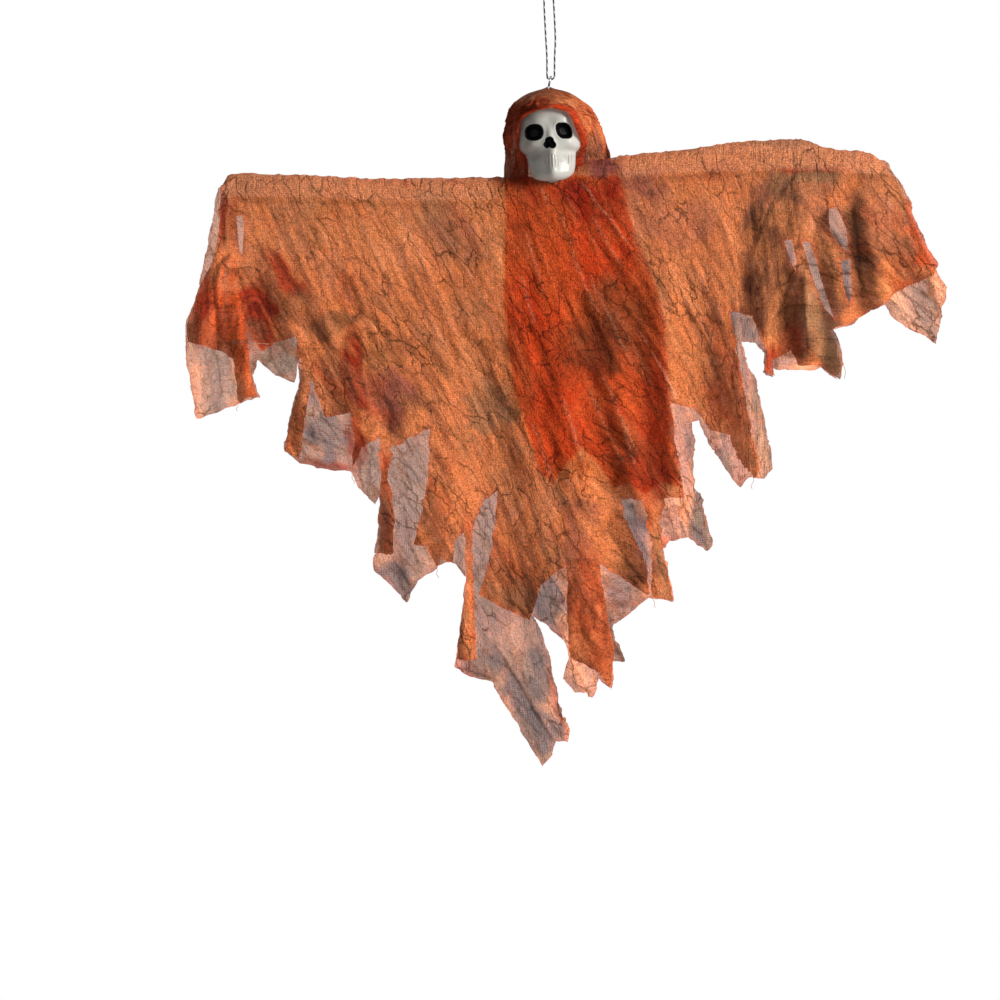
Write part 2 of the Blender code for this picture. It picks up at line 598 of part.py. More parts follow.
def build_robe():
    ends = [Vector((RIDGE_SLACK_MM[0][0] * MM, 0)), Vector((RIDGE_SLACK_MM[-1][0] * MM, 0))]
    front = [flat_place(x, z, 1) for x, z in FRONT_OUTLINE_MM]
    back = [flat_place(x, z, -1) for x, z in BACK_OUTLINE_MM]
    outline = divided([ends[0]] + front + [ends[1]] + back[::-1])
    neck = divided([Vector((NECK_ENDS_X_MM[0] * MM, 0))] + [flat_place(x, z, 1) for x, z in NECK_FRONT_MM]
                   + [Vector((NECK_ENDS_X_MM[1] * MM, 0))]
                   + [flat_place(x, z, -1) for x, z in NECK_BACK_MM][::-1])

    rows = [QUARTER * k / 3 for k in range(-3, 4)]
    below = [QUARTER + GRID_PITCH * k for k in range(1, int(ROBE_DROP / GRID_PITCH))]
    rows = [-v for v in reversed(below)] + rows + below
    grid = []
    for n, away in enumerate(rows):
        bent = abs(away) < QUARTER + 0.001
        spare = GRID_PITCH * (0.08 if bent else 0.42)
        x = GRID_REACH_X[0] + (0 if bent else (n % 2) * GRID_PITCH / 2)
        while x < GRID_REACH_X[1]:
            point = Vector((x, away))
            if inside(point, outline) and not inside(point, neck):
                if min(edge_distance(point, outline), edge_distance(point, neck)) > spare:
                    grid.append(point)
            at_neck = NECK_ENDS_X_MM[0] * MM - GRID_PITCH < x < NECK_ENDS_X_MM[1] * MM + GRID_PITCH
            x += GRID_PITCH / 2 if bent and at_neck else GRID_PITCH
    points = outline + neck + grid
    rings = [list(range(len(outline))), list(range(len(outline), len(outline) + len(neck)))]
    edges = [(ring[i], ring[(i + 1) % len(ring)]) for ring in rings for i in range(len(ring))]
    verts, _, faces, *_ = delaunay_2d_cdt(points, edges, [], 0, 1e-7)

    bm = bmesh.new()
    placed = [bm.verts.new(draped(v)) for v in verts]
    for face in faces:
        middle = sum((verts[i] for i in face), Vector((0, 0))) / 3
        if inside(middle, outline) and not inside(middle, neck):
            bm.faces.new([placed[i] for i in face])
    for vert in [v for v in bm.verts if not v.link_faces]:
        bm.verts.remove(vert)
    robe = mesh_object("robe", bm)
    thicken(robe)
    painted(robe, "robe_gauze", (0.62, 0.20, 0.07), 0.85)


def thicken(obj):
    solidify = obj.modifiers.new("thickness", "SOLIDIFY")
    solidify.thickness = CLOTH_THICKNESS
    solidify.offset = 0.0
    obj.data.shade_smooth()


# Hood

def hood_value(column, z):
    return through([(row[0], row[column]) for row in HOOD_ROWS_MM], z) * MM


def hood_point(z, s):
    """Point of the hood at height z; s runs from -1 at its left front edge to 1 at its right."""
    left, right = hood_value(1, z), hood_value(2, z)
    front, back = hood_value(3, z), hood_value(4, z)
    opening = through(OPENING_MM, z) * MM
    centre = EYE_SHANK_X + (0.5 * (left + right) - EYE_SHANK_X) * smooth_step(-69, -80, z)
    half = centre - left if s < 0 else right - centre
    start = math.asin(min(0.98, opening / half))
    a = math.pi - abs(s) * (math.pi - start)
    x = centre + math.copysign(half * math.sin(a), s)
    y = 0.001 * smooth_step(-69, -80, z) - (front if a < math.pi / 2 else back) * math.cos(a)
    flat = smooth_step(-98, -113, z)
    level = Vector((left + (right - left) * (s + 1) / 2, WRAP, z * MM))
    level.y -= fold_height(TAIL_PLEATS_MM, level.x, level.z)
    return Vector((x, y, z * MM)).lerp(level, flat)


def hood_row(z):
    """One row of the hood, drawn out to its full width where the wrap opens into the flat tail."""
    points = [hood_point(z, 2 * k / HOOD_COLUMNS - 1) for k in range(HOOD_COLUMNS + 1)]
    left, right = min(p.x for p in points), max(p.x for p in points)
    wide = hood_value(2, z) - hood_value(1, z)
    for point in points:
        point.x = hood_value(1, z) + (point.x - left) * wide / (right - left)
    return points


def build_hood():
    bm = bmesh.new()
    heights = [row[0] for row in HOOD_ROWS_MM]
    rows = [[bm.verts.new(point) for point in hood_row(z)] for z in heights]
    hem = []
    for k in range(HOOD_COLUMNS + 1):
        point = hood_point(heights[-1], 2 * k / HOOD_COLUMNS - 1)
        drop = min(through(TAIL_HEM_MM, point.x / MM) * MM, point.z - 0.003)
        hem.append((point.z, drop, k))
    stretch_from = heights.index(TAIL_STRETCH_ROW)
    for i in range(stretch_from + 1, len(rows)):
        share = (heights[stretch_from] - heights[i]) / (heights[stretch_from] - heights[-1])
        for end, drop, k in hem:
            top = heights[stretch_from] * MM
            rows[i][k].co.z = top + (drop - top) * share
    for low, high in zip(rows, rows[1:]):
        for k in range(HOOD_COLUMNS):
            bm.faces.new((low[k], low[k + 1], high[k + 1], high[k]))
    bmesh.ops.remove_doubles(bm, verts=bm.verts, dist=1e-5)
    hood = mesh_object("hood", bm)
    thicken(hood)
    painted(hood, "hood_gauze", (0.48, 0.10, 0.03), 0.85)


build_arms()
head = build_skull()
cut_face(head)
add_neck(head)
ring_top_wire = build_screw_eye(head)
build_cord(ring_top_wire)
build_knot()
build_robe()
build_hood()
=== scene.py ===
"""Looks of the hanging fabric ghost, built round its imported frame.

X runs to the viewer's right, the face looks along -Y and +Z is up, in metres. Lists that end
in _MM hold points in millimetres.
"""
import math

import bmesh
import bpy
import numpy as np
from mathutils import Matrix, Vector, noise


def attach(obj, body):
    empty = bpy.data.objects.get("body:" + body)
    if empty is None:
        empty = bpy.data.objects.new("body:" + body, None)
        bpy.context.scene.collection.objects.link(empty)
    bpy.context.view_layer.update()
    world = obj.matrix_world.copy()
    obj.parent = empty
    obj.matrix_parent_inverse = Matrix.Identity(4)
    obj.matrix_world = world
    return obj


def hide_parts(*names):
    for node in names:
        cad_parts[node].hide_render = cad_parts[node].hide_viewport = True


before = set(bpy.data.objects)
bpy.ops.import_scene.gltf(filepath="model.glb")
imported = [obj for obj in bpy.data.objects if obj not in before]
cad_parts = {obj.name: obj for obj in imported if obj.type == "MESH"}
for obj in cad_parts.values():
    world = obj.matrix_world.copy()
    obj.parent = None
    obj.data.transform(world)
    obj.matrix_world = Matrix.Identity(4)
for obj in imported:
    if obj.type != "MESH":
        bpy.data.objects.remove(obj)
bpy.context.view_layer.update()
MM = 0.001

# Camera: a long lens square in front of the ghost, far enough off that both arms are seen
# without perspective. The picture is a little over half a metre wide at the cloth.
CAMERA_DISTANCE = 2.6
PICTURE_WIDTH = 0.578
PICTURE_MIDDLE = (-0.0275, -0.3063)

lens = bpy.data.cameras.new("camera")
lens.lens = lens.sensor_width * CAMERA_DISTANCE / PICTURE_WIDTH
camera = bpy.data.objects.new("camera", lens)
camera.location = (PICTURE_MIDDLE[0], -CAMERA_DISTANCE, PICTURE_MIDDLE[1])
camera.rotation_euler = (math.pi / 2, 0, 0)
bpy.context.scene.collection.objects.link(camera)
bpy.context.scene.camera = camera
bpy.context.scene.view_settings.view_transform = "Standard"


# Hanging cord: a 1 mm cord of three strands, two black and one pale, laid up with a
# slow twist. It is threaded through the steel eye and its two ends are knotted together.
CORD_DIAMETER = 0.0010
CORD_TWIST = 0.0042
LEFT_STRAND_MM = [(-0.62, -0.5), (-1.3, -8), (-2.0, -18), (-1.2, -36), (-0.4, -50)]
RIGHT_STRAND_MM = [(4.1, -50), (4.5, -40), (3.9, -26), (3.2, -16), (1.7, -6.5), (0.62, -0.5)]
CORD_TURN_MM = (1.85, -63.2, 2.1)
KNOT_SCALE = 0.00064
CORD_BLACK = (0.016, 0.015, 0.017)
CORD_PALE = (0.46, 0.43, 0.40)


class Wire:
    """A value in a material's nodes; sums on it add the nodes that work them out."""

    def __init__(self, tree, socket=None):
        self.tree, self.socket = tree, socket

    def add(self, kind, sockets=(), output=0, stops=(), **settings):
        """Add any node: its settings go in first, then its sockets' values or links."""
        node = self.tree.nodes.new("ShaderNode" + kind)
        for name, value in settings.items():
            setattr(node, name, value)
        for n, (place, colour) in enumerate(stops):
            ramp = node.color_ramp.elements
            stop = ramp[n] if n < 2 else ramp.new(place)
            stop.position, stop.color = place, (*colour, 1)
        for name, value in dict(sockets).items():
            if isinstance(value, Wire):
                self.tree.links.new(value.socket, node.inputs[name])
            else:
                node.inputs[name].default_value = value
        return Wire(self.tree, node.outputs[output])

    def math(self, operation, *values):
        return self.add("Math", dict(enumerate(values)), operation=operation)

    def __add__(self, other):
        return self.math("ADD", self, other)

    def __sub__(self, other):
        return self.math("SUBTRACT", self, other)

    def __rsub__(self, other):
        return self.math("SUBTRACT", other, self)

    def __mul__(self, other):
        return self.math("MULTIPLY", self, other)

    def __truediv__(self, other):
        return self.math("DIVIDE", self, other)

    def __pow__(self, other):
        return self.math("POWER", self, other)

    __radd__, __rmul__ = __add__, __mul__

    def clamped(self, low=0.0, high=1.0):
        return self.math("MINIMUM", self.math("MAXIMUM", self, low), high)

    def step(self, start, end):
        """0 below start, 1 above end and smooth between."""
        return self.add("MapRange", {"Value": self, "From Min": start, "From Max": end},
                        interpolation_type="SMOOTHSTEP")

    def blend(self, low, high):
        """Colour low where this is 0 and high where it is 1."""
        return self.add("Mix", {0: self, 6: low, 7: high}, output=2, data_type="RGBA")

    def scaled(self, factor):
        return self.add("VectorMath", {0: self, 1: factor}, operation="MULTIPLY")


def rgb(colour):
    return (*colour, 1)


def finish_of(name, roughness, **constants):
    """A new material with the shader's own constants set; returns it, its wire and its shader."""
    material = bpy.data.materials.new(name)
    material.use_nodes = True
    shader = material.node_tree.nodes["Principled BSDF"]
    shader.inputs["Roughness"].default_value = roughness
    for socket, value in constants.items():
        shader.inputs[socket.replace("_", " ")].default_value = value
    return material, Wire(material.node_tree), shader


def join(shader, name, wire):
    wire.tree.links.new(wire.socket, shader.inputs[name])


def bumped(shader, height, strength, distance):
    normal = height.add("Bump", {"Height": height, "Strength": strength, "Distance": distance})
    join(shader, "Normal", normal)


def placed(name, bm, material, smooth_angle=None):
    """Put a bmesh in the scene as a piece that rides on the ghost."""
    mesh = bpy.data.meshes.new(name)
    bm.to_mesh(mesh)
    bm.free()
    mesh.shade_smooth()
    if smooth_angle:
        mesh.set_sharp_from_angle(angle=math.radians(smooth_angle))
    mesh.materials.append(material)
    piece = bpy.data.objects.new(name, mesh)
    bpy.context.scene.collection.objects.link(piece)
    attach(piece, "root")
    return piece


def smooth_route(points, per_span):
    """Points of a smooth curve through the route's own points."""
    ends = [points[0] * 2 - points[1]] + points + [points[-1] * 2 - points[-2]]
    made = []
    for a, b, c, d in zip(ends, ends[1:], ends[2:], ends[3:]):
        for i in range(per_span):
            t = i / per_span
            made.append(0.5 * (2 * b + (c - a) * t + (2 * a - 5 * b + 4 * c - d) * t**2
                               + (3 * b - a - 3 * c + d) * t**3))
    return made + [points[-1]]


def route_length(path):
    return sum((b - a).length for a, b in zip(path, path[1:]))


def drawn(path, sides, radius_at):
    """A flat grid rolled up along a path and closed: radius_at(turn, run) is its radius."""
    bm = bmesh.new()
    bmesh.ops.create_grid(bm, x_segments=sides, y_segments=len(path) - 1, size=0.5)
    runs = [0.0]
    for a, b in zip(path, path[1:]):
        runs.append(runs[-1] + (b - a).length)
    ahead = [(path[min(i + 1, len(path) - 1)] - path[max(i - 1, 0)]).normalized()
             for i in range(len(path))]
    up = ahead[0].orthogonal().normalized()
    frames = []
    for way in ahead:
        up = (up - way * up.dot(way)).normalized()
        frames.append((up, way.cross(up)))
    uv = bm.loops.layers.uv.new("yarn")
    for face in bm.faces:
        for loop in face.loops:
            row = round((loop.vert.co.y + 0.5) * (len(path) - 1))
            loop[uv].uv = (loop.vert.co.x + 0.5, runs[row])
    for vert in bm.verts:
        turn = vert.co.x + 0.5
        row = round((vert.co.y + 0.5) * (len(path) - 1))
        a, (up, across) = 2 * math.pi * turn, frames[row]
        radius = radius_at(turn, runs[row])
        vert.co = path[row] + radius * (math.cos(a) * up + math.sin(a) * across)
    bmesh.ops.remove_doubles(bm, verts=bm.verts, dist=1e-6)
    bmesh.ops.holes_fill(bm, edges=[e for e in bm.edges if e.is_boundary])
    bmesh.ops.recalc_face_normals(bm, faces=bm.faces)
    return bm


def yarn_finish():
    material, base, shader = finish_of("twisted_cord", 0.75)
    place = base.add("UVMap", uv_map="yarn")
    turn = place.add("SeparateXYZ", {0: place})
    run = place.add("SeparateXYZ", {0: place}, output=1)
    lay = (turn + run / CORD_TWIST) * 3
    strand = lay.math("FRACT", lay / 3)
    fuzz = place.add("TexNoise", {"Scale": 2600, "Detail": 2}, noise_dimensions="3D")
    pale = (strand + (fuzz - 0.5) * 0.25).step(0.66, 0.70)
    join(shader, "Base Color", pale.blend(rgb(CORD_BLACK), rgb(CORD_PALE)))
    bumped(shader, fuzz, 0.5, 0.0002)
    return material


def rope_radius(turn, run):
    """Three round strands side by side, turning with the run."""
    lobes = abs(math.cos(1.5 * 2 * math.pi * (turn + run / CORD_TWIST)))
    return CORD_DIAMETER / 2 * (0.80 + 0.24 * lobes)


twisted_cord = yarn_finish()
turn_x, turn_z, turn_radius = (v * MM for v in CORD_TURN_MM)
cord_turn = [Vector((turn_x - turn_radius * math.cos(a), 0, turn_z + turn_radius * (1 - math.sin(a))))
             for a in (0, math.pi / 4, math.pi / 2, 3 * math.pi / 4, math.pi)]
cord_route = smooth_route([Vector((x * MM, 0, z * MM)) for x, z in LEFT_STRAND_MM] + cord_turn
                          + [Vector((x * MM, 0, z * MM)) for x, z in RIGHT_STRAND_MM], 24)
hanging_cord = placed("hanging_cord_looped", drawn(cord_route, 18, rope_radius), twisted_cord)

# Knot: the two cord ends tied in one overhand knot and trimmed to short tails.
knot_turn = []
for i in range(33):
    t = math.pi + 0.22 + (2 * math.pi - 0.44) * i / 32
    knot_turn.append(Vector((math.sin(t) + 2 * math.sin(2 * t), 1.15 * math.sin(3 * t),
                             2 * math.cos(2 * t) - math.cos(t))))
KNOT_TAILS = [(1.0, 2.2), (1.6, 5.0), (2.6, 8.0)]
knot_start, knot_end = knot_turn[0], knot_turn[-1]
knot_route = ([knot_start + Vector((math.copysign(out, knot_start.x), 0, up))
               for out, up in reversed(KNOT_TAILS)] + knot_turn
              + [knot_end + Vector((math.copysign(out, knot_end.x), 0, up)) for out, up in KNOT_TAILS])
knot_lift = CORD_DIAMETER / 2 / KNOT_SCALE - min(p.z for p in knot_route)
knot_route = smooth_route([(p + Vector((0, 0, knot_lift))) * KNOT_SCALE for p in knot_route], 5)
cord_knot = placed("cord_knot_tied", drawn(knot_route, 14, rope_radius), twisted_cord)
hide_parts("cord_knot")
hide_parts("hanging_cord")
route_length(cord_route)


# Screw eye: bright steel wire bent to a ring on a straight shank, which is screwed into the
# crown through the cloth. It leans a little to the right.
CROWN = Vector((-0.0002, 0, -0.0705))
EYE_WIRE_DIAMETER = 0.0012
EYE_RING_RADIUS = 0.0030
EYE_SHANK_X = 0.0006
EYE_STANDOFF = 0.0032
EYE_LEAN = math.radians(12)
EYE_SHANK_DEPTH = 0.008
EYE_GAP = 0.0016
EYE_BEND = 0.18

steel, base, shader = finish_of("bright_steel", 0.28, Metallic=1.0)
place = base.add("TexCoord", output=3)
drag = base.add("TexNoise", {"Vector": place, "Scale": 900, "Detail": 3})
tone = drag.step(0.35, 0.7)
join(shader, "Base Color", tone.blend(rgb((0.16, 0.155, 0.15)), rgb((0.38, 0.37, 0.36))))
join(shader, "Roughness", drag * 0.3 + 0.15)

eye_up = Vector((math.sin(EYE_LEAN), 0, math.cos(EYE_LEAN)))
eye_base = Vector((EYE_SHANK_X, 0, CROWN.z + EYE_STANDOFF))
eye_centre = eye_base + eye_up * EYE_RING_RADIUS
eye_tip = EYE_STANDOFF + EYE_SHANK_DEPTH
eye_route = [eye_base - eye_up * (eye_tip * (1 - i / 14)) - eye_up * 0.0006 * (i / 14) for i in range(15)]
eye_turn = 2 * math.pi - EYE_GAP / EYE_RING_RADIUS - EYE_BEND
for i in range(57):
    a = -math.pi / 2 + EYE_BEND + eye_turn * i / 56
    eye_route.append(eye_centre + EYE_RING_RADIUS * (Vector((0, math.cos(a), 0)) + eye_up * math.sin(a)))


def eye_radius(turn, run):
    """Wire radius, sharpened to a point over its first 2 mm."""
    return EYE_WIRE_DIAMETER / 2 * min(1.0, 0.25 + 0.75 * run / 0.002)


screw_eye = placed("screw_eye_bent", drawn(eye_route, 20, eye_radius), steel, 50)
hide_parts("screw_eye")


# Skull: one hollow-cast head in glossy off-white plastic, with the eye sockets and the nose
# hole painted black by hand and a few shallow grooves for the teeth. It is rolled 3 degrees.
SKULL_ROLL = math.radians(-3.0)
# How much narrower the left of the jaw is than its section
JAW_DRAWN_IN = 0.07
SKULL_COLUMNS = 280
SKULL_ROWS = 150
# (drop below the crown, half width, front, back)
SKULL_SECTIONS_MM = [
    (0, 0.01, 0.01, 0.01), (0.9, 6.2, 6.4, 7.0), (3.0, 10.8, 11.4, 12.8), (6.5, 14.8, 15.6, 17.2),
    (11.5, 17.7, 18.4, 20.2), (17.5, 19.0, 20.2, 21.8), (24, 18.6, 20.7, 21.6), (29, 18.1, 20.4, 19.6),
    (33, 17.2, 20.2, 16.2), (36, 14.8, 19.8, 11.6), (40, 14.2, 20.0, 5.2), (44, 13.8, 20.3, 3.6),
    (47.5, 12.9, 20.2, 0.0), (50.2, 10.4, 19.4, -6.0), (52.1, 6.2, 17.4, -10.5),
    (52.9, 0.01, 14.0, -14.0)]
# Soft swellings of the face: (x, drop, half width, half height, height), on both sides
FACE_SWELLINGS_MM = [
    (8.0, 17.2, 5.5, 2.2, 1.0), (0, 19.0, 3.4, 3.0, -0.5), (0, 25.6, 2.2, 3.4, 1.0),
    (12.6, 31.2, 4.4, 3.0, 1.7), (11.0, 36.8, 4.4, 2.8, -2.2), (0.8, 41.0, 3.2, 9.0, 2.6),
    (0.6, 48.5, 4.6, 3.0, 0.9), (7.5, 42.5, 3.0, 5.0, -0.5)]
# Hollows of the face: (x, drop, half width, half height, depth, squareness, lean)
FACE_HOLLOWS_MM = [(-9.1, 24.4, 5.1, 4.6, 4.6, 2.3, 0.0), (8.1, 24.3, 4.4, 4.5, 4.4, 2.7, 0.22),
                   (-2.2, 31.9, 1.9, 2.0, 2.8, 2.0, 0.0), (1.0, 32.2, 2.1, 2.1, 2.8, 2.0, 0.0),
                   (-0.6, 29.7, 2.5, 2.2, 2.9, 2.0, 0.0)]
# Tooth grooves: (x, top drop, bottom drop)
TOOTH_GROOVES_MM = [(-1.6, 38.2, 44.6), (0.0, 38.0, 45.0), (1.7, 38.2, 45.0), (3.4, 38.4, 44.6),
                    (9.6, 37.6, 42.8), (11.3, 37.4, 42.6)]
SOCKET_BLACK = (0.0025, 0.0025, 0.003)


def through(points, x):
    """Smooth curve through (x, value) pairs, read at the values x."""
    at, value = np.array(sorted(points), float).T
    rise = np.diff(value) / np.diff(at)
    slope = np.zeros_like(value)
    product = rise[:-1] * rise[1:]
    slope[1:-1] = np.where(product > 0, 2 * product / np.where(product > 0, rise[:-1] + rise[1:], 1), 0)
    x = np.clip(np.asarray(x, float), at[0], at[-1])
    k = np.clip(np.searchsorted(at, x, side="right") - 1, 0, len(at) - 2)
    span = at[k + 1] - at[k]
    t = (x - at[k]) / span
    return ((2 * t**3 - 3 * t**2 + 1) * value[k] + (t**3 - 2 * t**2 + t) * slope[k] * span
            + (3 * t**2 - 2 * t**3) * value[k + 1] + (t**3 - t**2) * slope[k + 1] * span)


def smooth_step(start, end, x):
    t = np.clip((np.asarray(x, float) - start) / (end - start), 0, 1)
    return t * t * (3 - 2 * t)


def stored(mesh, name, values):
    """Keep one number for each point of a mesh, for its material to read."""
    mesh.attributes.new(name, "FLOAT", "POINT").data.foreach_set("value", np.asarray(values, np.float32))


def rolled_grid(columns, rows):
    """A flat grid as a bmesh, with each point's column and row as numbers from 0 to 1."""
    bm = bmesh.new()
    bmesh.ops.create_grid(bm, x_segments=columns, y_segments=rows, size=0.5)
    flat = np.array([(v.co.x + 0.5, v.co.y + 0.5) for v in bm.verts])
    return bm, flat[:, 0], flat[:, 1]


def moved(bm, x, y, z):
    for vert, co in zip(bm.verts, np.stack([x, y, z], 1).tolist()):
        vert.co = co


def signed_power(value, power):
    return np.sign(value) * np.abs(value) ** power


skull_mm, column, row = rolled_grid(SKULL_COLUMNS, SKULL_ROWS)
drop = SKULL_SECTIONS_MM[-1][0] * (1 - np.cos(math.pi * row)) / 2
half, front, back = (through([(s[0], s[i]) for s in SKULL_SECTIONS_MM], drop) for i in (1, 2, 3))
angle = 2 * math.pi * column
x = half * signed_power(np.sin(angle), 0.88)
x = x * (1 - JAW_DRAWN_IN * (x < 0) * smooth_step(34, 38, drop) * smooth_step(52, 47, drop))
y = (back - front) / 2 - (back + front) / 2 * signed_power(np.cos(angle), 0.88)
face = smooth_step(0, -9, y) * (y < 0)
for sx, sd, wide, high, height in FACE_SWELLINGS_MM:
    for side in ((-1, 1) if sx > 1 else (1,)):
        y = y - height * face * np.exp(-((x - side * sx) / wide) ** 2 - ((drop - sd) / high) ** 2)
paint = np.full_like(x, -9.0)
for hx, hd, wide, high, depth, square, lean in FACE_HOLLOWS_MM:
    across = x - hx - lean * (drop - hd)
    away = (np.abs(across / wide) ** square + np.abs((drop - hd) / high) ** square) ** (1 / square)
    y = y + depth * face * smooth_step(1.04, 0.45, away)
    y = y - 0.3 * face * np.exp(-((away - 1.16) / 0.13) ** 2)
    paint = np.maximum(paint, np.where(y < 0, (1.06 - away) * min(wide, high), -9))
for gx, top, bottom in TOOTH_GROOVES_MM:
    along = smooth_step(top - 1.0, top + 0.6, drop) * smooth_step(bottom + 1.0, bottom - 0.6, drop)
    y = y + 0.6 * face * along * np.exp(-((x - gx) / 0.45) ** 2)
jaw_line = np.exp(-((drop - 41.4) / 0.5) ** 2) * smooth_step(6.4, 5.0, np.abs(x - 0.9))
y = y + 0.3 * face * jaw_line
moved(skull_mm, x * MM, y * MM, -drop * MM)
paint_of = dict(zip((tuple(round(c, 7) for c in v.co) for v in skull_mm.verts), paint))
bmesh.ops.remove_doubles(skull_mm, verts=skull_mm.verts, dist=2e-5)
bmesh.ops.recalc_face_normals(skull_mm, faces=skull_mm.faces)
paint = [paint_of.get(tuple(round(c, 7) for c in v.co), -9.0) for v in skull_mm.verts]
roll = math.cos(SKULL_ROLL), math.sin(SKULL_ROLL)
for vert in skull_mm.verts:
    vx, vz = vert.co.x, vert.co.z
    vert.co.x, vert.co.z = CROWN.x + vx * roll[0] + vz * roll[1], CROWN.z - vx * roll[1] + vz * roll[0]

gloss_white, base, shader = finish_of("gloss_plastic", 0.34, Coat_Roughness=0.10, Specular_IOR_Level=0.06)
place = base.add("TexCoord", output=3)
cloud = base.add("TexNoise", {"Vector": place, "Scale": 90, "Detail": 3})
black = base.add("Attribute", output=2, attribute_name="paint")
brush = base.add("TexNoise", {"Vector": place, "Scale": 700, "Detail": 2})
black = (black + (brush - 0.5) * 0.4).step(-0.10, 0.10)
white = cloud.step(0.3, 0.7).blend(rgb((0.375, 0.358, 0.315)), rgb((0.43, 0.415, 0.375)))
join(shader, "Base Color", black.blend(white, rgb(SOCKET_BLACK)))
join(shader, "Coat Weight", 0.17 - black * 0.16)
bumped(shader, cloud, 0.15, 0.0006)
skull = placed("skull_cast", skull_mm, gloss_white)
stored(skull.data, "paint", paint)
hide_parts("skull")

# Neck stub of the same plastic, moulded with the head; the arm wire runs through it.
NECK_DIAMETER = 0.0124
NECK_TOP_DROP = 0.034
NECK_BOTTOM_DROP = 0.0612
NECK_STEPS = 10
neck_drops = [NECK_TOP_DROP + (NECK_BOTTOM_DROP - NECK_TOP_DROP) * i / NECK_STEPS for i in range(NECK_STEPS + 1)]
neck_route = [CROWN - Vector((roll[1], 0, roll[0])) * down for down in neck_drops]
neck = placed("neck_stub", drawn(neck_route, 40, lambda turn, run: NECK_DIAMETER / 2), gloss_white, 50)
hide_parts("skull")


# Arms: two pale foam tubes on one bent steel wire, which runs through the neck stub. They
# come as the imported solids; the cloth lies on them and they shine through it.
ARM_ROUTE_MM = [
    (-215, -125.5), (-182, -125.6), (-143, -126.4), (-85, -128.3), (-30, -127.7), (-9, -127.2),
    (4, -124.0), (18.8, -119.7), (30, -117.2), (43, -114.9), (65, -113.2), (88, -111.9),
    (146, -110.2), (171, -111.5), (195, -112.8), (235, -113.5)]

foam, base, shader = finish_of("pale_foam", 0.7)
place = base.add("TexCoord", output=3)
cells = base.add("TexVoronoi", {"Vector": place, "Scale": 1400})
smudge = base.add("TexNoise", {"Vector": place, "Scale": 60, "Detail": 4})
join(shader, "Base Color", smudge.step(0.3, 0.75).blend(rgb((0.80, 0.66, 0.54)), rgb((0.88, 0.80, 0.70))))
bumped(shader, cells, 0.4, 0.0003)
wire_steel, base, shader = finish_of("dull_steel_wire", 0.4, Metallic=1.0)
place = base.add("TexCoord", output=3)
drag = base.add("TexNoise", {"Vector": place.scaled((60, 1500, 1500)), "Scale": 1, "Detail": 2})
join(shader, "Base Color", drag.blend(rgb((0.30, 0.30, 0.31)), rgb((0.55, 0.55, 0.56))))
join(shader, "Roughness", drag * 0.3 + 0.25)
for name, material in (("arm_tube_left", foam), ("arm_tube_right", foam), ("arm_wire", wire_steel)):
    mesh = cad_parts[name].data if hasattr(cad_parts[name], "data") else bpy.data.objects[name].data
    mesh.materials.clear()
    mesh.materials.append(material)


# Robe: one sheet of loose cotton gauze, tie-dyed rust, brown and plum, crumpled and laid
# over both arms like a poncho. It has a slit for the neck and torn, fraying hems.
CLOTH_PITCH = 0.00134
WRAP = 0.0073
BACK_WRAP = 0.0088
QUARTER = WRAP * math.pi / 2
RIDGE_SLACK_MM = [
    (-188, -6.3), (-185, -1.4), (-182, 0.5), (-143, 0.3), (-100, 0), (-30, 0.4), (36, 0),
    (60, 0.2), (88, 1.8), (104, 3.6), (131, 4.6), (146, 4.7), (158, 1.3), (169, 0), (181, -0.2),
    (189, -2), (192, -4.4)]
NECK_FRONT_MM = [(-24.5, -119.2), (-18.5, -117.6), (-12, -118.4), (-7, -121.2), (1, -123.5), (7, -122.8),
                 (11.7, -119.8), (16.2, -115.6), (19, -113.3), (22, -111.8)]
NECK_BACK_MM = [(-28.5, -127.0), (-22, -131.0), (-10, -133.5), (8, -132.5), (26, -128.0), (38, -123.5),
                (41, -117.0)]
NECK_ENDS_X_MM = (-28, 41)
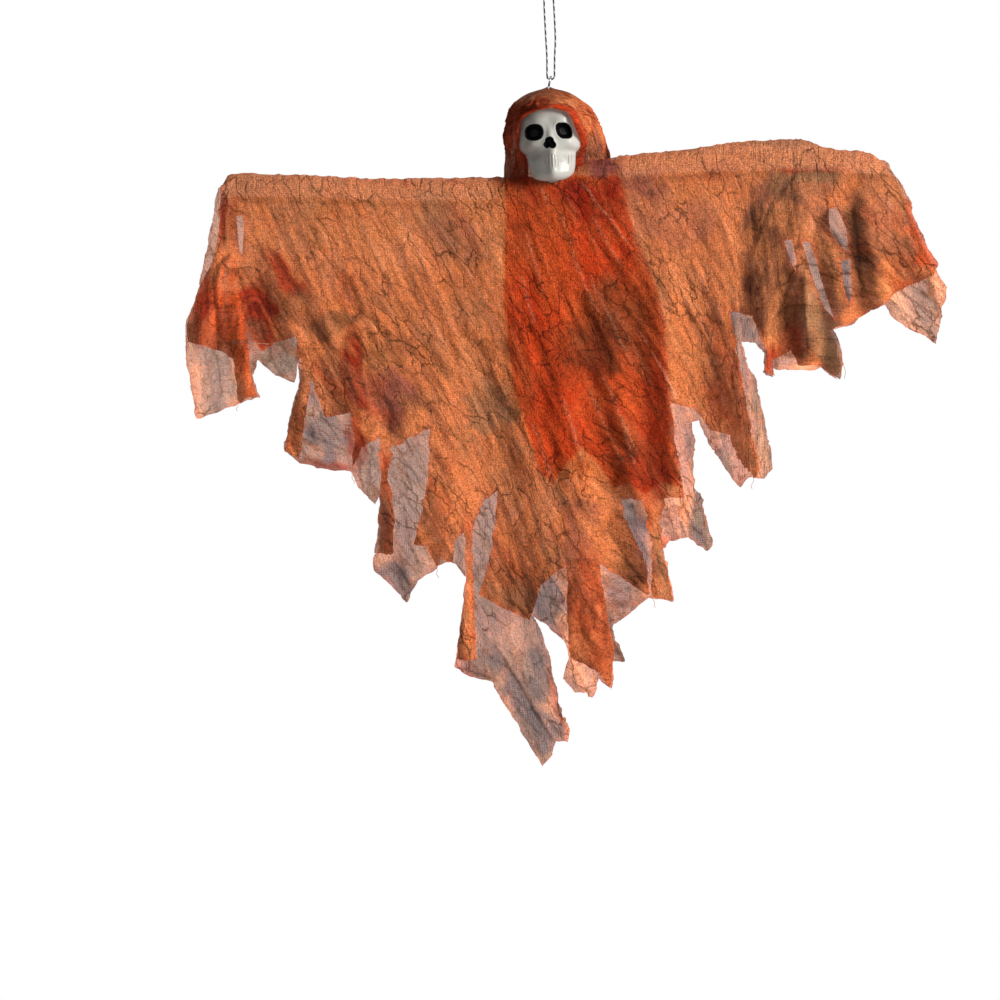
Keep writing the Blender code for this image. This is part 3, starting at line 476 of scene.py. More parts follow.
FRONT_OUTLINE_MM = [
    # left sleeve end with its turned flap
    (-189, -136), (-190, -153), (-192, -166), (-198, -178), (-203, -191), (-208, -205), (-208, -216),
    (-199, -217), (-187, -221), (-181, -225), (-178, -250), (-167, -247), (-171, -232), (-173, -208),
    (-165, -221), (-158, -216), (-145, -212),
    # first strip, turned in along its outer edge
    (-143, -237), (-149, -260), (-152, -277), (-143, -284), (-141, -266), (-136, -237), (-128, -259),
    (-113, -256), (-111, -272), (-113, -290), (-107, -276), (-97, -270),
    # second strip
    (-96, -289), (-98, -324), (-100, -337), (-89, -337), (-88, -318), (-92, -289), (-90, -276),
    (-68, -265), (-69, -295), (-77, -332), (-70, -333), (-64, -344), (-55, -342), (-53, -329), (-48, -324),
    # edge band of the long tip and the slit beside it
    (-47, -351), (-49, -367), (-53, -398), (-41, -398), (-43, -350), (-44, -324), (-36, -306), (-29, -301),
    (-30, -318), (-34, -341), (-40, -361),
    # middle hem and its narrow strip
    (-25, -369), (-10, -376), (-4, -355), (11, -343), (11, -376), (13, -397), (30, -406), (37, -416),
    (38, -393), (33, -364), (30, -343), (45, -353), (58, -361),
    # slit and pointed strip right of the middle
    (57, -344), (48, -324), (42, -306), (55, -306), (59, -329), (60, -362), (72, -365), (67, -338),
    (64, -318), (67, -305), (79, -305),
    # long strip under the right arm
    (74, -280), (71, -251), (84, -253), (93, -265), (105, -269), (108, -280), (118, -294), (121, -289),
    (118, -272), (112, -240), (107, -211), (105, -198), (118, -200), (121, -211),
    # right sleeve
    (126, -221), (125, -232), (131, -235), (129, -226), (140, -220), (144, -229), (156, -229), (168, -237),
    (170, -228), (168, -217), (164, -208), (176, -204), (186, -197), (196, -192), (200, -187), (212, -181),
    (222, -177), (225, -171), (218, -159), (211, -143), (210, -135), (204, -124), (198, -116)]
BACK_OUTLINE_MM = [
    # left sleeve end
    (-193, -135), (-196, -151), (-200, -172), (-204, -191), (-210, -205), (-210, -224), (-207, -239),
    (-204, -259), (-182, -252), (-167, -247), (-171, -234), (-168, -225), (-158, -234), (-147, -238),
    (-143, -221),
    # first strip and the small one behind it
    (-144, -240), (-148, -253), (-152, -272), (-153, -278), (-145, -284), (-134, -288), (-114, -290),
    (-110, -299), (-100, -309), (-97, -302),
    # second strip
    (-98, -324), (-97, -332), (-101, -339), (-101, -347), (-92, -355), (-82, -366), (-75, -353), (-64, -346),
    (-62, -340), (-55, -343), (-47, -351),
    # long tip
    (-49, -370), (-53, -396), (-54, -403), (-45, -409), (-32, -412), (-27, -422), (-16, -439), (-3, -461),
    (3, -454), (5, -446), (12, -447), (13, -439), (7, -425), (1, -396), (-4, -381), (-8, -374),
    # middle hem
    (0, -379), (10, -389), (12, -396), (9, -410), (16, -418), (26, -421), (30, -410), (37, -417),
    (38, -400), (45, -400), (38, -380), (49, -371), (59, -363), (74, -365), (70, -347), (66, -335),
    # strip right of the middle
    (71, -330), (82, -328), (93, -336), (96, -331), (90, -309), (85, -292), (86, -277), (84, -261), (88, -260),
    # long strip under the right arm
    (93, -272), (99, -281), (107, -294), (112, -299), (117, -293), (126, -294), (131, -288), (129, -272),
    (124, -249), (116, -224), (113, -214), (121, -215),
    # right sleeve
    (126, -221), (125, -232), (131, -235), (128, -228), (134, -231), (155, -231), (159, -229), (168, -237),
    (170, -228), (168, -217), (164, -208), (176, -205), (186, -197), (196, -193), (200, -200), (208, -206),
    (220, -211), (226, -216), (229, -198), (232, -183), (225, -172), (218, -159), (211, -143), (210, -135),
    (204, -124), (199, -116)]
# Folds of each layer: (top x, top z, bottom x, bottom z, half width, height)
FRONT_FOLDS_MM = [
    (-187, -140, -204, -235, 7, 6), (-184, -160, -171, -250, 8, 9), (-166, -140, -144, -215, 9, 5),
    (-152, -132, -100, -285, 12, 7), (-112, -136, -62, -335, 12, 6), (-72, -136, -46, -390, 12, 7),
    (-32, -140, 2, -360, 12, 6), (-4, -132, 28, -400, 12, 8), (18, -130, 60, -350, 10, 6),
    (58, -125, 76, -300, 11, 6), (94, -125, 115, -290, 10, 7), (128, -114, 122, -225, 8, 7),
    (145, -114, 150, -230, 7, 9), (161, -114, 170, -228, 7, 8), (179, -116, 192, -195, 8, 8),
    (200, -135, 224, -190, 8, 5)]
BACK_FOLDS_MM = [
    (-190, -140, -198, -255, 9, 6), (-160, -138, -150, -275, 12, 7), (-122, -138, -106, -300, 12, 6),
    (-84, -140, -86, -360, 12, 7), (-44, -145, -42, -405, 12, 6), (-4, -150, -18, -450, 12, 8),
    (36, -145, 34, -415, 12, 6), (78, -130, 84, -325, 12, 7), (116, -125, 122, -290, 10, 6),
    (152, -120, 158, -235, 10, 7), (194, -128, 216, -208, 11, 7)]

# Dyes of the gauze: red, green, blue and how open the weave is left
RUST = (0.72, 0.185, 0.050, 0.80)
AMBER = (0.80, 0.255, 0.075, 0.85)
FLAME = (0.78, 0.090, 0.012, 0.35)
SCARLET = (0.36, 0.024, 0.005, 0.20)
MAROON = (0.17, 0.018, 0.005, 0.12)
BRICK = (0.52, 0.080, 0.020, 0.40)
UMBER = (0.17, 0.050, 0.020, 0.30)
OLIVE = (0.30, 0.135, 0.055, 0.55)
PLUM = (0.28, 0.065, 0.050, 0.45)
SAND = (0.50, 0.170, 0.075, 0.80)
CLAY = (0.37, 0.120, 0.050, 0.70)
SMOKE = (0.17, 0.055, 0.042, 0.62)
ROSE = (0.42, 0.120, 0.060, 0.70)
# Painted highlight, not dye: the colours laid on the crests and on the raised creases
CREST_HIGHLIGHT = (0.90, 0.290, 0.090, 0.80)
CREASE_HIGHLIGHT = (0.90, 0.440, 0.250, 0.80)
TAIL_TINT = (0.88, 0.42, 0.28, 0.80)
TUBE_SHOWS = (0.95, 0.40, 0.22)
# Share of each layer's openness that is left by its folds, and how much paler the back is painted: painted light
# on the back layer, which lies in the front layer's shade
FRONT_OPENS, BACK_OPENS, BACK_PAINTED_LIGHT = 0.42, 0.64, 1.4
# Creases broader than this fade as they widen
BROAD_CREASE_MM = 1.5
# Dyed patches of each layer: (x, z, half width, half height, degrees that its top leans right, dye, strength)
FRONT_PATCHES_MM = [
    # shoulders
    (-24, -117, 9, 5, 0, BRICK, 0.8), (30, -112, 15, 9, 10, PLUM, 1),
    # the right arm, browner than the left
    (132, -155, 12, 36, 0, SMOKE, 1), (196, -142, 26, 30, 0, CLAY, 1), (160, -170, 24, 30, 0, CLAY, 0.6),
    # left sleeve
    (-193, -153, 4, 26, 12, BRICK, 0.8), (-187, -146, 2, 21, 0, SCARLET, 1),
    (-181, -147, 3, 17, 0, BRICK, 0.7), (-185, -191, 8, 27, 4, FLAME, 1),
    (-175, -231, 7, 17, -5, FLAME, 0.9), (-199, -197, 6, 21, 10, SCARLET, 1),
    (-207, -211, 3, 7, 0, BRICK, 0.8), (-201, -188, 8, 22, 14, SCARLET, 1), (-196, -214, 8, 10, 0, BRICK, 0.9),
    (-165, -191, 12, 20, -25, SCARLET, 1),
    (-166, -212, 9, 10, 0, SCARLET, 1), (-167, -208, 6, 7, 0, UMBER, 0.6),
    (-151, -176, 5, 18, -35, SCARLET, 0.9), (-143, -198, 8, 14, -30, UMBER, 0.5),
    (-143, -142, 16, 15, -20, OLIVE, 0.35), (-172, -127, 9, 6, 0, SAND, 0.5),
    # left arm
    (-123, -205, 16, 6, -20, UMBER, 0.9), (-113, -230, 6, 21, 0, SCARLET, 0.95),
    (-111, -272, 5, 16, 0, SCARLET, 0.9), (-126, -240, 8, 16, -20, BRICK, 0.8),
    (-120, -185, 8, 10, -25, BRICK, 0.5), (-90, -220, 12, 9, -20, UMBER, 0.6),
    (-90, -247, 16, 14, -15, PLUM, 0.85), (-77, -251, 8, 6, 0, UMBER, 0.6),
    (-100, -249, 7, 16, -10, BRICK, 0.6), (-52, -154, 14, 14, -20, PLUM, 0.45),
    (-37, -160, 8, 9, 0, UMBER, 0.35), (-33, -251, 12, 15, -10, OLIVE, 0.75),
    (-68, -142, 12, 12, -20, OLIVE, 0.3), (-79, -121, 35, 4, 0, FLAME, 0.35),
    (-45, -121, 8, 4, 0, FLAME, 0.35),
    # strips on the left
    (-148, -263, 6, 21, 12, SCARLET, 1), (-152, -276, 5, 6, 0, BRICK, 1),
    (-133, -287, 20, 4, 6, SCARLET, 1), (-93, -303, 4, 34, 0, SCARLET, 0.9),
    (-95, -318, 3, 17, 0, UMBER, 0.6), (-62, -306, 8, 29, 0, BRICK, 0.4),
    (-56, -237, 14, 17, -20, RUST, 0.6), (-46, -358, 3, 37, 0, FLAME, 0.9),
    (-49, -390, 3, 12, 0, SCARLET, 0.7),
    # neck and middle
    (5, -127, 17, 7, 0, SCARLET, 0.9), (23, -136, 14, 12, -25, SCARLET, 0.9),
    (39, -133, 9, 14, 0, SCARLET, 0.7), (-19, -120, 15, 5, 0, BRICK, 0.9),
    (-15, -156, 7, 9, 0, UMBER, 0.5), (-21, -191, 5, 35, 0, BRICK, 0.6),
    (-10, -185, 5, 21, -10, SCARLET, 0.5), (-12, -247, 8, 9, 0, UMBER, 0.4),
    (30, -168, 21, 25, -25, FLAME, 0.6), (27, -220, 14, 18, -10, UMBER, 0.85),
    (37, -202, 18, 23, -20, OLIVE, 0.55), (7, -260, 23, 29, -20, FLAME, 0.5),
    (-4, -214, 12, 35, -15, FLAME, 0.5),
    # right of the middle
    (56, -124, 14, 9, 0, PLUM, 0.7), (59, -142, 12, 14, 0, ROSE, 0.5), (82, -150, 15, 15, 0, PLUM, 0.35),
    (53, -191, 15, 23, -25, OLIVE, 0.35), (91, -249, 12, 14, 0, BRICK, 0.6),
    (101, -225, 6, 35, -5, BRICK, 0.7), (108, -249, 5, 23, -5, SCARLET, 0.5),
    (62, -260, 8, 40, 0, BRICK, 0.9), (65, -295, 9, 12, 0, SCARLET, 0.9),
    (49, -289, 8, 17, -10, UMBER, 0.7), (88, -116, 23, 7, -4, BRICK, 0.4),
    (88, -185, 14, 17, -20, RUST, 0.5),
    # right sleeve
    (134, -100, 22, 3, 0, UMBER, 0.85), (131, -162, 14, 35, 0, UMBER, 0.95),
    (137, -127, 8, 12, 0, OLIVE, 0.6), (129, -191, 13, 21, -10, UMBER, 1),
    (146, -208, 8, 21, 0, UMBER, 0.9), (139, -214, 10, 8, 0, SCARLET, 0.5),
    (159, -202, 8, 25, -5, OLIVE, 1), (156, -121, 14, 5, 0, OLIVE, 0.8),
    (149, -116, 22, 2, 0, SCARLET, 0.9), (182, -162, 8, 32, -8, UMBER, 0.95),
    (199, -153, 14, 23, 0, BRICK, 0.4), (194, -127, 9, 14, 0, SAND, 0.5),
    (218, -165, 7, 16, -25, FLAME, 1), (204, -185, 9, 8, 0, FLAME, 0.6),
    (164, -185, 7, 23, -12, UMBER, 0.65), (129, -227, 6, 9, 0, SCARLET, 1),
    # lower middle
    (16, -327, 15, 17, 0, PLUM, 0.6), (51, -347, 13, 9, -30, UMBER, 0.8),
    (-16, -362, 16, 12, -25, UMBER, 0.7), (-27, -346, 16, 13, 0, BRICK, 0.6),
    (22, -364, 10, 29, 0, BRICK, 1), (25, -387, 8, 14, 0, UMBER, 0.7), (13, -387, 4, 17, 0, SCARLET, 0.7),
    (66, -341, 6, 24, -5, OLIVE, 0.85), (53, -306, 6, 35, 0, BRICK, 0.8), (82, -295, 4, 23, 0, BRICK, 0.8),
    (-4, -318, 12, 23, 0, RUST, 0.6)]
BACK_PATCHES_MM = [
    (0, -118, 34, 15, 0, BRICK, 1),
    # left sleeve
    (-193, -153, 5, 26, 12, ROSE, 0.8), (-195, -240, 15, 21, 0, SAND, 1),
    (-205, -237, 3, 17, 0, RUST, 0.7), (-155, -227, 15, 12, 0, OLIVE, 1),
    (-199, -197, 6, 21, 10, SCARLET, 1), (-165, -202, 13, 20, 0, SCARLET, 0.8),
    # strips on the left
    (-126, -272, 16, 16, 0, SMOKE, 1), (-137, -234, 5, 16, 0, ROSE, 1), (-105, -289, 13, 20, 0, SAND, 1),
    (-148, -263, 6, 21, 12, SCARLET, 1), (-133, -287, 20, 4, 6, SCARLET, 1),
    (-111, -272, 5, 16, 0, SCARLET, 1), (-113, -230, 6, 21, 0, SCARLET, 0.9),
    (-81, -301, 13, 35, 0, SAND, 1), (-82, -329, 8, 12, 0, ROSE, 0.9), (-88, -354, 14, 16, 0, SMOKE, 1),
    (-69, -341, 7, 9, 0, ROSE, 1), (-51, -337, 5, 14, 0, SAND, 1), (-90, -247, 16, 14, -15, PLUM, 0.7),
    # long tip
    (-36, -332, 8, 34, 8, SAND, 1), (-29, -379, 16, 18, 0, ROSE, 1), (-45, -403, 12, 7, 0, PLUM, 0.9),
    (-13, -413, 17, 25, -30, SMOKE, 1), (-4, -442, 12, 17, -20, SMOKE, 1), (-1, -458, 6, 5, 0, OLIVE, 0.9),
    (7, -422, 3, 29, -15, BRICK, 1), (13, -442, 4, 8, 0, RUST, 0.9),
    # middle hem
    (0, -369, 12, 21, 0, SMOKE, 1), (21, -409, 12, 12, 0, ROSE, 1), (34, -393, 4, 25, 0, UMBER, 1),
    (45, -396, 6, 6, 0, OLIVE, 1), (48, -360, 14, 17, 0, ROSE, 1), (51, -324, 8, 21, -15, SMOKE, 1),
    (68, -317, 10, 15, 0, ROSE, 0.9), (68, -332, 6, 5, 0, BRICK, 0.9), (84, -327, 7, 7, 0, SMOKE, 1),
    # strips on the right
    (78, -277, 5, 29, 0, ROSE, 1), (87, -289, 3, 23, 0, SAND, 1), (92, -309, 6, 27, -8, OLIVE, 0.9),
    (104, -282, 10, 20, -20, ROSE, 1), (114, -249, 4, 46, -5, ROSE, 1), (125, -260, 5, 35, -5, OLIVE, 0.8),
    (114, -207, 8, 10, 0, SMOKE, 0.9), (127, -228, 5, 9, 0, SCARLET, 1), (139, -225, 10, 5, 0, ROSE, 1),
    # right sleeve
    (131, -162, 14, 40, 0, UMBER, 0.9), (146, -202, 12, 23, 0, UMBER, 0.9),
    (140, -165, 4, 12, 0, SMOKE, 1), (159, -182, 7, 25, -20, SAND, 1), (170, -169, 5, 32, -12, SMOKE, 1),
    (164, -225, 8, 13, 0, OLIVE, 0.9), (182, -162, 6, 32, -8, UMBER, 0.95),
    (214, -194, 18, 21, 0, SAND, 1), (226, -182, 7, 8, 0, RUST, 0.8), (158, -121, 17, 8, 0, OLIVE, 0.8),
    # behind the middle
    (7, -191, 35, 64, 0, BRICK, 0.6), (30, -225, 23, 29, 0, UMBER, 0.4), (-56, -191, 35, 35, 0, RUST, 0.4)]
# Creases of each layer: (x, z, x, z, half width, pale above 0 as a painted highlight on a raised crease, or dark
# below as painted shade in a sunk one)
FRONT_CREASES_MM = [
    # left sleeve
    (-188, -127, -186, -165, 1.4, -0.9), (-182, -166, -190, -191, 1.2, 0.5),
    (-180, -169, -165, -217, 1.2, -0.8), (-178, -169, -158, -202, 1.4, -0.7),
    (-184, -168, -187, -214, 0.9, 0.4), (-162, -159, -140, -192, 2.0, -0.8),
    (-165, -127, -143, -162, 1.2, 0.4), (-149, -127, -117, -185, 1.2, -0.45),
    (-140, -133, -113, -182, 1.2, 0.45), (-126, -127, -94, -191, 1.3, -0.45),
    (-117, -130, -85, -191, 1.2, 0.45), (-105, -127, -68, -208, 1.2, -0.5),
    (-92, -127, -59, -197, 1.2, 0.4), (-172, -173, -143, -208, 0.9, -0.5),
    (-178, -191, -165, -220, 0.9, -0.8), (-169, -191, -162, -218, 0.9, -0.9),
    (-140, -199, -114, -246, 1.2, -0.7), (-133, -201, -101, -249, 0.9, -0.5),
    # left arm
    (-84, -124, -40, -169, 0.9, -0.6), (-75, -126, -27, -208, 1.0, 0.4), (-62, -165, -39, -159, 0.9, -0.6),
    (-39, -159, -33, -142, 0.8, -0.4), (-68, -185, -40, -183, 0.8, -0.5),
    (-97, -150, -45, -243, 1.2, 0.35), (-85, -168, -16, -289, 1.0, -0.4),
    (-62, -191, -27, -260, 0.9, 0.35), (-45, -208, -4, -289, 0.9, -0.4),
    (-108, -191, -62, -260, 1.0, -0.4), (-97, -260, -62, -289, 1.2, -0.6),
    (-120, -208, -74, -260, 0.9, -0.5), (-56, -249, -10, -329, 0.9, 0.3),
    (-74, -266, -45, -318, 0.9, -0.5),
    # middle
    (-4, -125, 3, -143, 0.7, 0.7), (4, -125, 42, -176, 1.3, -0.8), (10, -130, 30, -162, 0.9, 0.6),
    (18, -121, 49, -162, 0.8, 0.8), (25, -142, 43, -173, 0.8, 0.7), (7, -139, 16, -168, 0.8, 0.5),
    (0, -133, 7, -162, 0.9, -0.5), (-13, -150, -1, -191, 0.9, 0.5), (-16, -173, -7, -208, 0.8, 0.6),
    (-1, -165, 19, -208, 0.9, -0.4), (13, -162, 30, -202, 0.9, 0.5), (22, -173, 53, -237, 0.9, 0.45),
    (30, -168, 65, -231, 0.9, -0.5), (52, -208, 59, -218, 0.9, 1), (59, -218, 75, -250, 0.9, 1),
    (7, -243, 22, -289, 0.8, 0.6), (22, -240, 45, -289, 0.8, 0.6), (30, -231, 53, -283, 0.8, 0.6),
    (-10, -260, 7, -306, 0.8, 0.5), (30, -249, 59, -306, 0.9, -0.6), (-1, -266, 22, -318, 0.9, -0.4),
    (42, -260, 53, -295, 0.7, 0.6), (36, -191, 65, -249, 0.9, 0.4), (7, -289, 36, -341, 0.9, -0.5),
    (-27, -289, -10, -341, 0.9, 0.3),
    # right
    (62, -116, 111, -191, 1.0, -0.35), (82, -113, 123, -185, 1.0, 0.35), (65, -162, 100, -225, 1.0, 0.3),
    (77, -191, 111, -260, 1.0, -0.4), (97, -191, 114, -260, 0.9, 0.4), (88, -231, 108, -266, 0.9, -0.5),
    (95, -228, 111, -289, 0.9, 0.4), (58, -260, 60, -306, 1.4, -0.6), (66, -254, 70, -301, 1.3, -0.3),
    # right sleeve
    (111, -104, 134, -116, 1.0, -0.7), (140, -117, 146, -168, 1.4, -0.9), (144, -118, 155, -156, 1.0, 0.5),
    (146, -127, 175, -202, 1.0, -0.5), (155, -124, 172, -162, 0.9, 0.5), (129, -162, 116, -197, 0.9, -0.6),
    (146, -169, 140, -191, 1.4, 0.5), (145, -171, 129, -208, 1.2, -0.7), (151, -185, 146, -228, 1.4, 0.7),
    (144, -185, 141, -217, 1.0, -0.6), (176, -133, 181, -191, 1.3, -0.8), (181, -162, 185, -194, 1.0, 0.5),
    (172, -156, 186, -194, 0.9, -0.8), (186, -121, 192, -185, 1.2, -0.4),
    (195, -121, 198, -162, 1.2, 0.35), (204, -133, 212, -171, 1.2, 0.4), (198, -168, 218, -197, 1.0, -0.5),
    (207, -147, 221, -182, 1.0, -0.6), (123, -105, 163, -119, 1.2, -0.5),
    (105, -104, 131, -127, 0.9, -0.6), (97, -104, 114, -124, 0.9, 0.4),
    # lower
    (-25, -341, -10, -371, 1.0, -0.8), (-33, -358, -7, -375, 1.0, -0.7), (-16, -318, 7, -364, 0.9, -0.5),
    (-4, -306, 30, -353, 0.9, -0.5), (7, -341, 30, -350, 0.9, -0.5), (30, -318, 58, -358, 1.2, -0.7),
    (37, -334, 59, -357, 1.4, -0.8), (13, -364, 14, -399, 0.9, -0.6), (25, -353, 28, -402, 0.9, -0.5),
    (30, -355, 34, -396, 1.4, -0.8), (-46, -329, -49, -393, 1.0, 0.5), (-42, -341, -39, -393, 0.8, -0.5),
    (62, -335, 70, -363, 1.0, -0.5), (80, -272, 88, -329, 1.0, 0.4)]
BACK_CREASES_MM = [
    # left
    (-193, -217, -188, -249, 1.3, -0.8), (-186, -220, -180, -249, 1.0, -0.7),
    (-201, -225, -198, -254, 0.9, -0.4), (-165, -227, -143, -217, 1.0, -0.9),
    (-155, -220, -152, -236, 0.8, -0.8), (-163, -232, -149, -235, 0.8, -0.8),
    (-140, -255, -114, -269, 0.9, -0.9), (-141, -267, -114, -279, 0.9, -1),
    (-136, -277, -117, -280, 0.9, -0.9), (-141, -240, -130, -255, 1.0, -0.7),
    (-111, -272, -107, -303, 1.3, -0.8), (-101, -272, -105, -306, 1.2, -0.8),
    (-97, -272, -101, -289, 0.9, -0.5), (-88, -277, -68, -301, 0.8, -0.5),
    (-91, -289, -74, -318, 0.8, -0.6), (-86, -283, -71, -295, 0.7, -0.5),
    (-84, -306, -78, -341, 1.0, -0.7), (-82, -329, -71, -350, 0.9, -0.7), (-91, -338, -78, -360, 0.9, -1),
    (-78, -341, -62, -347, 0.9, -0.7), (-53, -327, -49, -346, 1.2, -0.8),
    # long tip
    (-39, -364, -7, -387, 0.8, -0.3), (-39, -393, -19, -406, 0.9, -0.7), (-33, -387, -10, -422, 1.0, -0.8),
    (-27, -396, -1, -439, 1.6, -1), (-10, -425, 5, -448, 1.4, -1), (-23, -380, -10, -410, 0.9, 0.6),
    (-15, -405, -4, -425, 0.8, -0.7), (-25, -416, -10, -429, 0.9, -0.9), (-21, -425, -1, -445, 0.9, -0.9),
    (-16, -433, 0, -460, 0.9, -0.8), (-7, -387, 3, -422, 1.0, -0.5), (1, -399, 11, -433, 1.2, -0.6),
    (5, -422, 13, -445, 1.0, -0.5), (-53, -403, -27, -412, 1.3, -1), (-4, -416, 7, -433, 0.8, -0.9),
    (0, -433, 11, -446, 1.0, -0.9),
    # middle
    (-7, -376, 11, -387, 1.0, -0.9), (-4, -358, 13, -370, 0.8, -0.6), (30, -355, 48, -350, 0.8, -0.7),
    (32, -364, 53, -355, 0.8, -0.7), (34, -373, 49, -364, 0.8, -0.6), (8, -410, 30, -403, 0.9, -0.7),
    (13, -405, 22, -399, 0.8, -0.7), (30, -393, 37, -416, 1.5, -0.9), (37, -387, 44, -399, 1.4, -0.9),
    (45, -315, 60, -341, 0.9, -0.9), (49, -306, 53, -324, 1.0, -0.8), (65, -313, 75, -310, 0.8, -0.9),
    (64, -323, 77, -315, 0.8, -0.9), (63, -327, 74, -324, 0.8, -0.8), (77, -318, 80, -327, 1.0, -1),
    (88, -272, 95, -329, 0.9, -0.5), (82, -266, 88, -306, 0.9, -0.4),
    # right
    (93, -272, 108, -266, 1.0, -0.7), (97, -279, 112, -275, 1.0, -0.8), (105, -288, 117, -286, 1.0, -0.8),
    (95, -266, 102, -272, 0.7, -0.6), (110, -295, 117, -291, 0.8, -0.6), (118, -260, 127, -294, 0.9, -0.5),
    (126, -249, 130, -289, 0.9, -0.4), (124, -220, 141, -218, 1.4, -1), (125, -221, 127, -234, 2.3, -1),
    (129, -217, 140, -223, 0.9, -0.8), (158, -188, 168, -191, 0.8, -0.8),
    (151, -166, 158, -163, 0.8, -0.8), (164, -146, 175, -169, 0.8, -0.8),
    (173, -156, 176, -162, 0.9, -0.9), (172, -185, 181, -201, 1.4, -0.9),
    (199, -191, 226, -213, 0.9, -0.8), (203, -184, 229, -202, 1.0, -1), (208, -179, 230, -195, 1.0, -1),
    (214, -177, 231, -186, 0.9, -0.9), (201, -197, 221, -210, 0.8, -0.8),
    (198, -188, 212, -208, 0.8, -0.6), (218, -175, 231, -181, 0.8, -0.7),
    (204, -188, 227, -208, 0.8, -0.9)]
# Turned-over or doubled cloth with a clear rim of painted shade: (dye, strength, height, corners)
FRONT_LAPS_MM = [
    # turned flap of the left sleeve
    (FLAME, 1, 2.0, [(-182, -164), (-189, -171), (-192, -182), (-190, -198), (-188, -212), (-185, -216),
        (-174, -214), (-174, -198), (-179, -182), (-180, -169)]),
    (FLAME, 0.8, 1.2, [(-185, -217), (-181, -234), (-178, -248), (-165, -247), (-171, -234), (-173, -216)]),
    # red patch and edge bands of the left strips
    (SCARLET, 0.8, 0.6, [(-117, -212), (-108, -212), (-107, -234), (-103, -254), (-109, -254),
        (-115, -232)]),
    (BRICK, 0.9, 0.8, [(-141, -236), (-145, -249), (-151, -272), (-152, -282), (-148, -283), (-143, -266),
        (-140, -249)]),
    # band of the long tip
    (RUST, 0.7, 0.8, [(-49, -318), (-48, -364), (-51, -401), (-44, -403), (-42, -364), (-44, -332)]),
    # fold over the right sleeve and its edge
    (UMBER, 0.6, 1.2, [(144, -117), (130, -136), (118, -162), (116, -191), (121, -213), (130, -209),
        (140, -169), (146, -133)]),
    (OLIVE, 0.7, 1.0, [(148, -169), (146, -191), (149, -217), (167, -236), (170, -231), (167, -208),
        (159, -188), (153, -169)]),
    (FLAME, 0.8, 0.8, [(205, -136), (211, -153), (219, -169), (230, -180), (230, -175), (221, -153),
        (212, -133)]),
    # narrow strip below the middle
    (BRICK, 0.8, 1.0, [(11, -341), (12, -364), (12, -396), (23, -400), (36, -417), (38, -393), (33, -364),
        (29, -341)]),
]
# The hood's tail hangs behind the front layer here and turns it deep red
TAIL_SHADE_MM = [
    (-26, -118), (-24, -136), (-25, -184), (-23, -218), (-18, -247), (-10, -270), (-5, -290), (3, -297),
    (9, -288), (19, -276), (28, -284), (38, -299), (47, -297), (56, -303), (66, -296), (76, -299),
    (71, -253), (69, -230), (67, -201), (62, -182), (51, -155), (46, -136), (41, -120)]
# Tears in the front layer only
TEARS_MM = [
    [(-179.5, -142.8), (-176.0, -142.2), (-174.8, -147.4), (-176.0, -165.3), (-177.7, -163.0)],
    [(136.1, -157.2), (140.7, -156.1), (143.1, -168.8), (142.5, -174.6), (139.6, -168.8)],
    [(146.5, -157.8), (151.1, -157.2), (153.5, -165.3), (158.7, -180.1), (165.9, -203.5), (159, -196),
     (150.4, -172.8)],
    [(161.6, -138.7), (166.2, -137.6), (172.0, -149.1), (173.7, -163.5), (168.1, -160), (162.1, -150.1)],
    [(168.9, -168.5), (174.3, -167.3), (175.4, -186.7), (173.3, -193.7), (170.2, -183.0)]]
# How far the folds lean from upright over each part of the arm: (x, sideways run per drop)
LEAN = [(-210, 0), (-188, 0.05), (-165, 0.45), (-60, 0.55), (20, 0.46), (60, 0.52), (105, 0.42), (133, 0.02),
        (160, 0.25), (200, 0.62)]
# Loose threads: (x, z of the held end, then how far the free end lies from it)
THREADS_MM = [(-173, -216, 13, -0.6), (171, -219, 2.6, -17), (-64, -344, 0.8, -7), (13, -397, -1.5, -6),
              (60, -362, 2, -6), (118, -294, -1.6, -6), (-113, -290, 1.2, -7), (-203, -259, -1, -5)]
THREAD_DIAMETER = 0.00032
WEAVE_PITCH = 0.00098


def grown_noise(points, octaves=3, seed=0.0):
    """Soft noise about 0 for rows of points."""
    shift = Vector((seed, -seed, seed * 0.7))
    return np.array([noise.fractal(Vector(p) + shift, 1.0, 2.0, octaves) for p in points.tolist()])


def ridged(points, seed):
    """Near 1 along wandering lines and 0 between them."""
    shift = Vector((seed, seed * 0.3, 0))
    return np.array([1 - 2.4 * abs(noise.noise(Vector(p) + shift)) for p in points.tolist()]).clip(0, 1)


def crackled(points, seed):
    """Near 1 on a net of thin lines, as on cloth that was crushed in the hand, and 0 between."""
    shift = Vector((seed, seed, seed))
    found = []
    for p in points.tolist():
        near = noise.voronoi(Vector(p) + shift)[0]
        found.append(near[1] - near[0])
    return smooth_step(0.16, 0.03, np.array(found))


def fold_height(folds, x, z):
    """Sum of the folds; each grows from nothing at its top to full at its foot."""
    total = np.zeros_like(x)
    for top_x, top_z, foot_x, foot_z, half, height in folds:
        t = (top_z * MM - z) / ((top_z - foot_z) * MM)
        crest = (top_x + (foot_x - top_x) * np.clip(t, 0, 1.3)) * MM
        total += height * MM * smooth_step(0, 0.8, t) * np.exp(-(((x - crest) / (half * MM)) ** 2))
    return total


def arm_z(x):
    return through(ARM_ROUTE_MM, np.asarray(x) / MM) * MM


def flat_loop(outline, side):
    """Where an outline lies on the flat cloth: along the arm and away from its ridge."""
    x, z = np.array(outline, float).T * MM
    above = z - arm_z(x)
    rise = np.maximum(0.0008, WRAP + through(RIDGE_SLACK_MM, x / MM) * MM)
    over = np.arccos(np.clip(above / rise, 0, 1)) / (math.pi / 2) * QUARTER
    return [Vector((a, side * b)) for a, b in zip(x, np.where(above <= 0, QUARTER - above, over))]


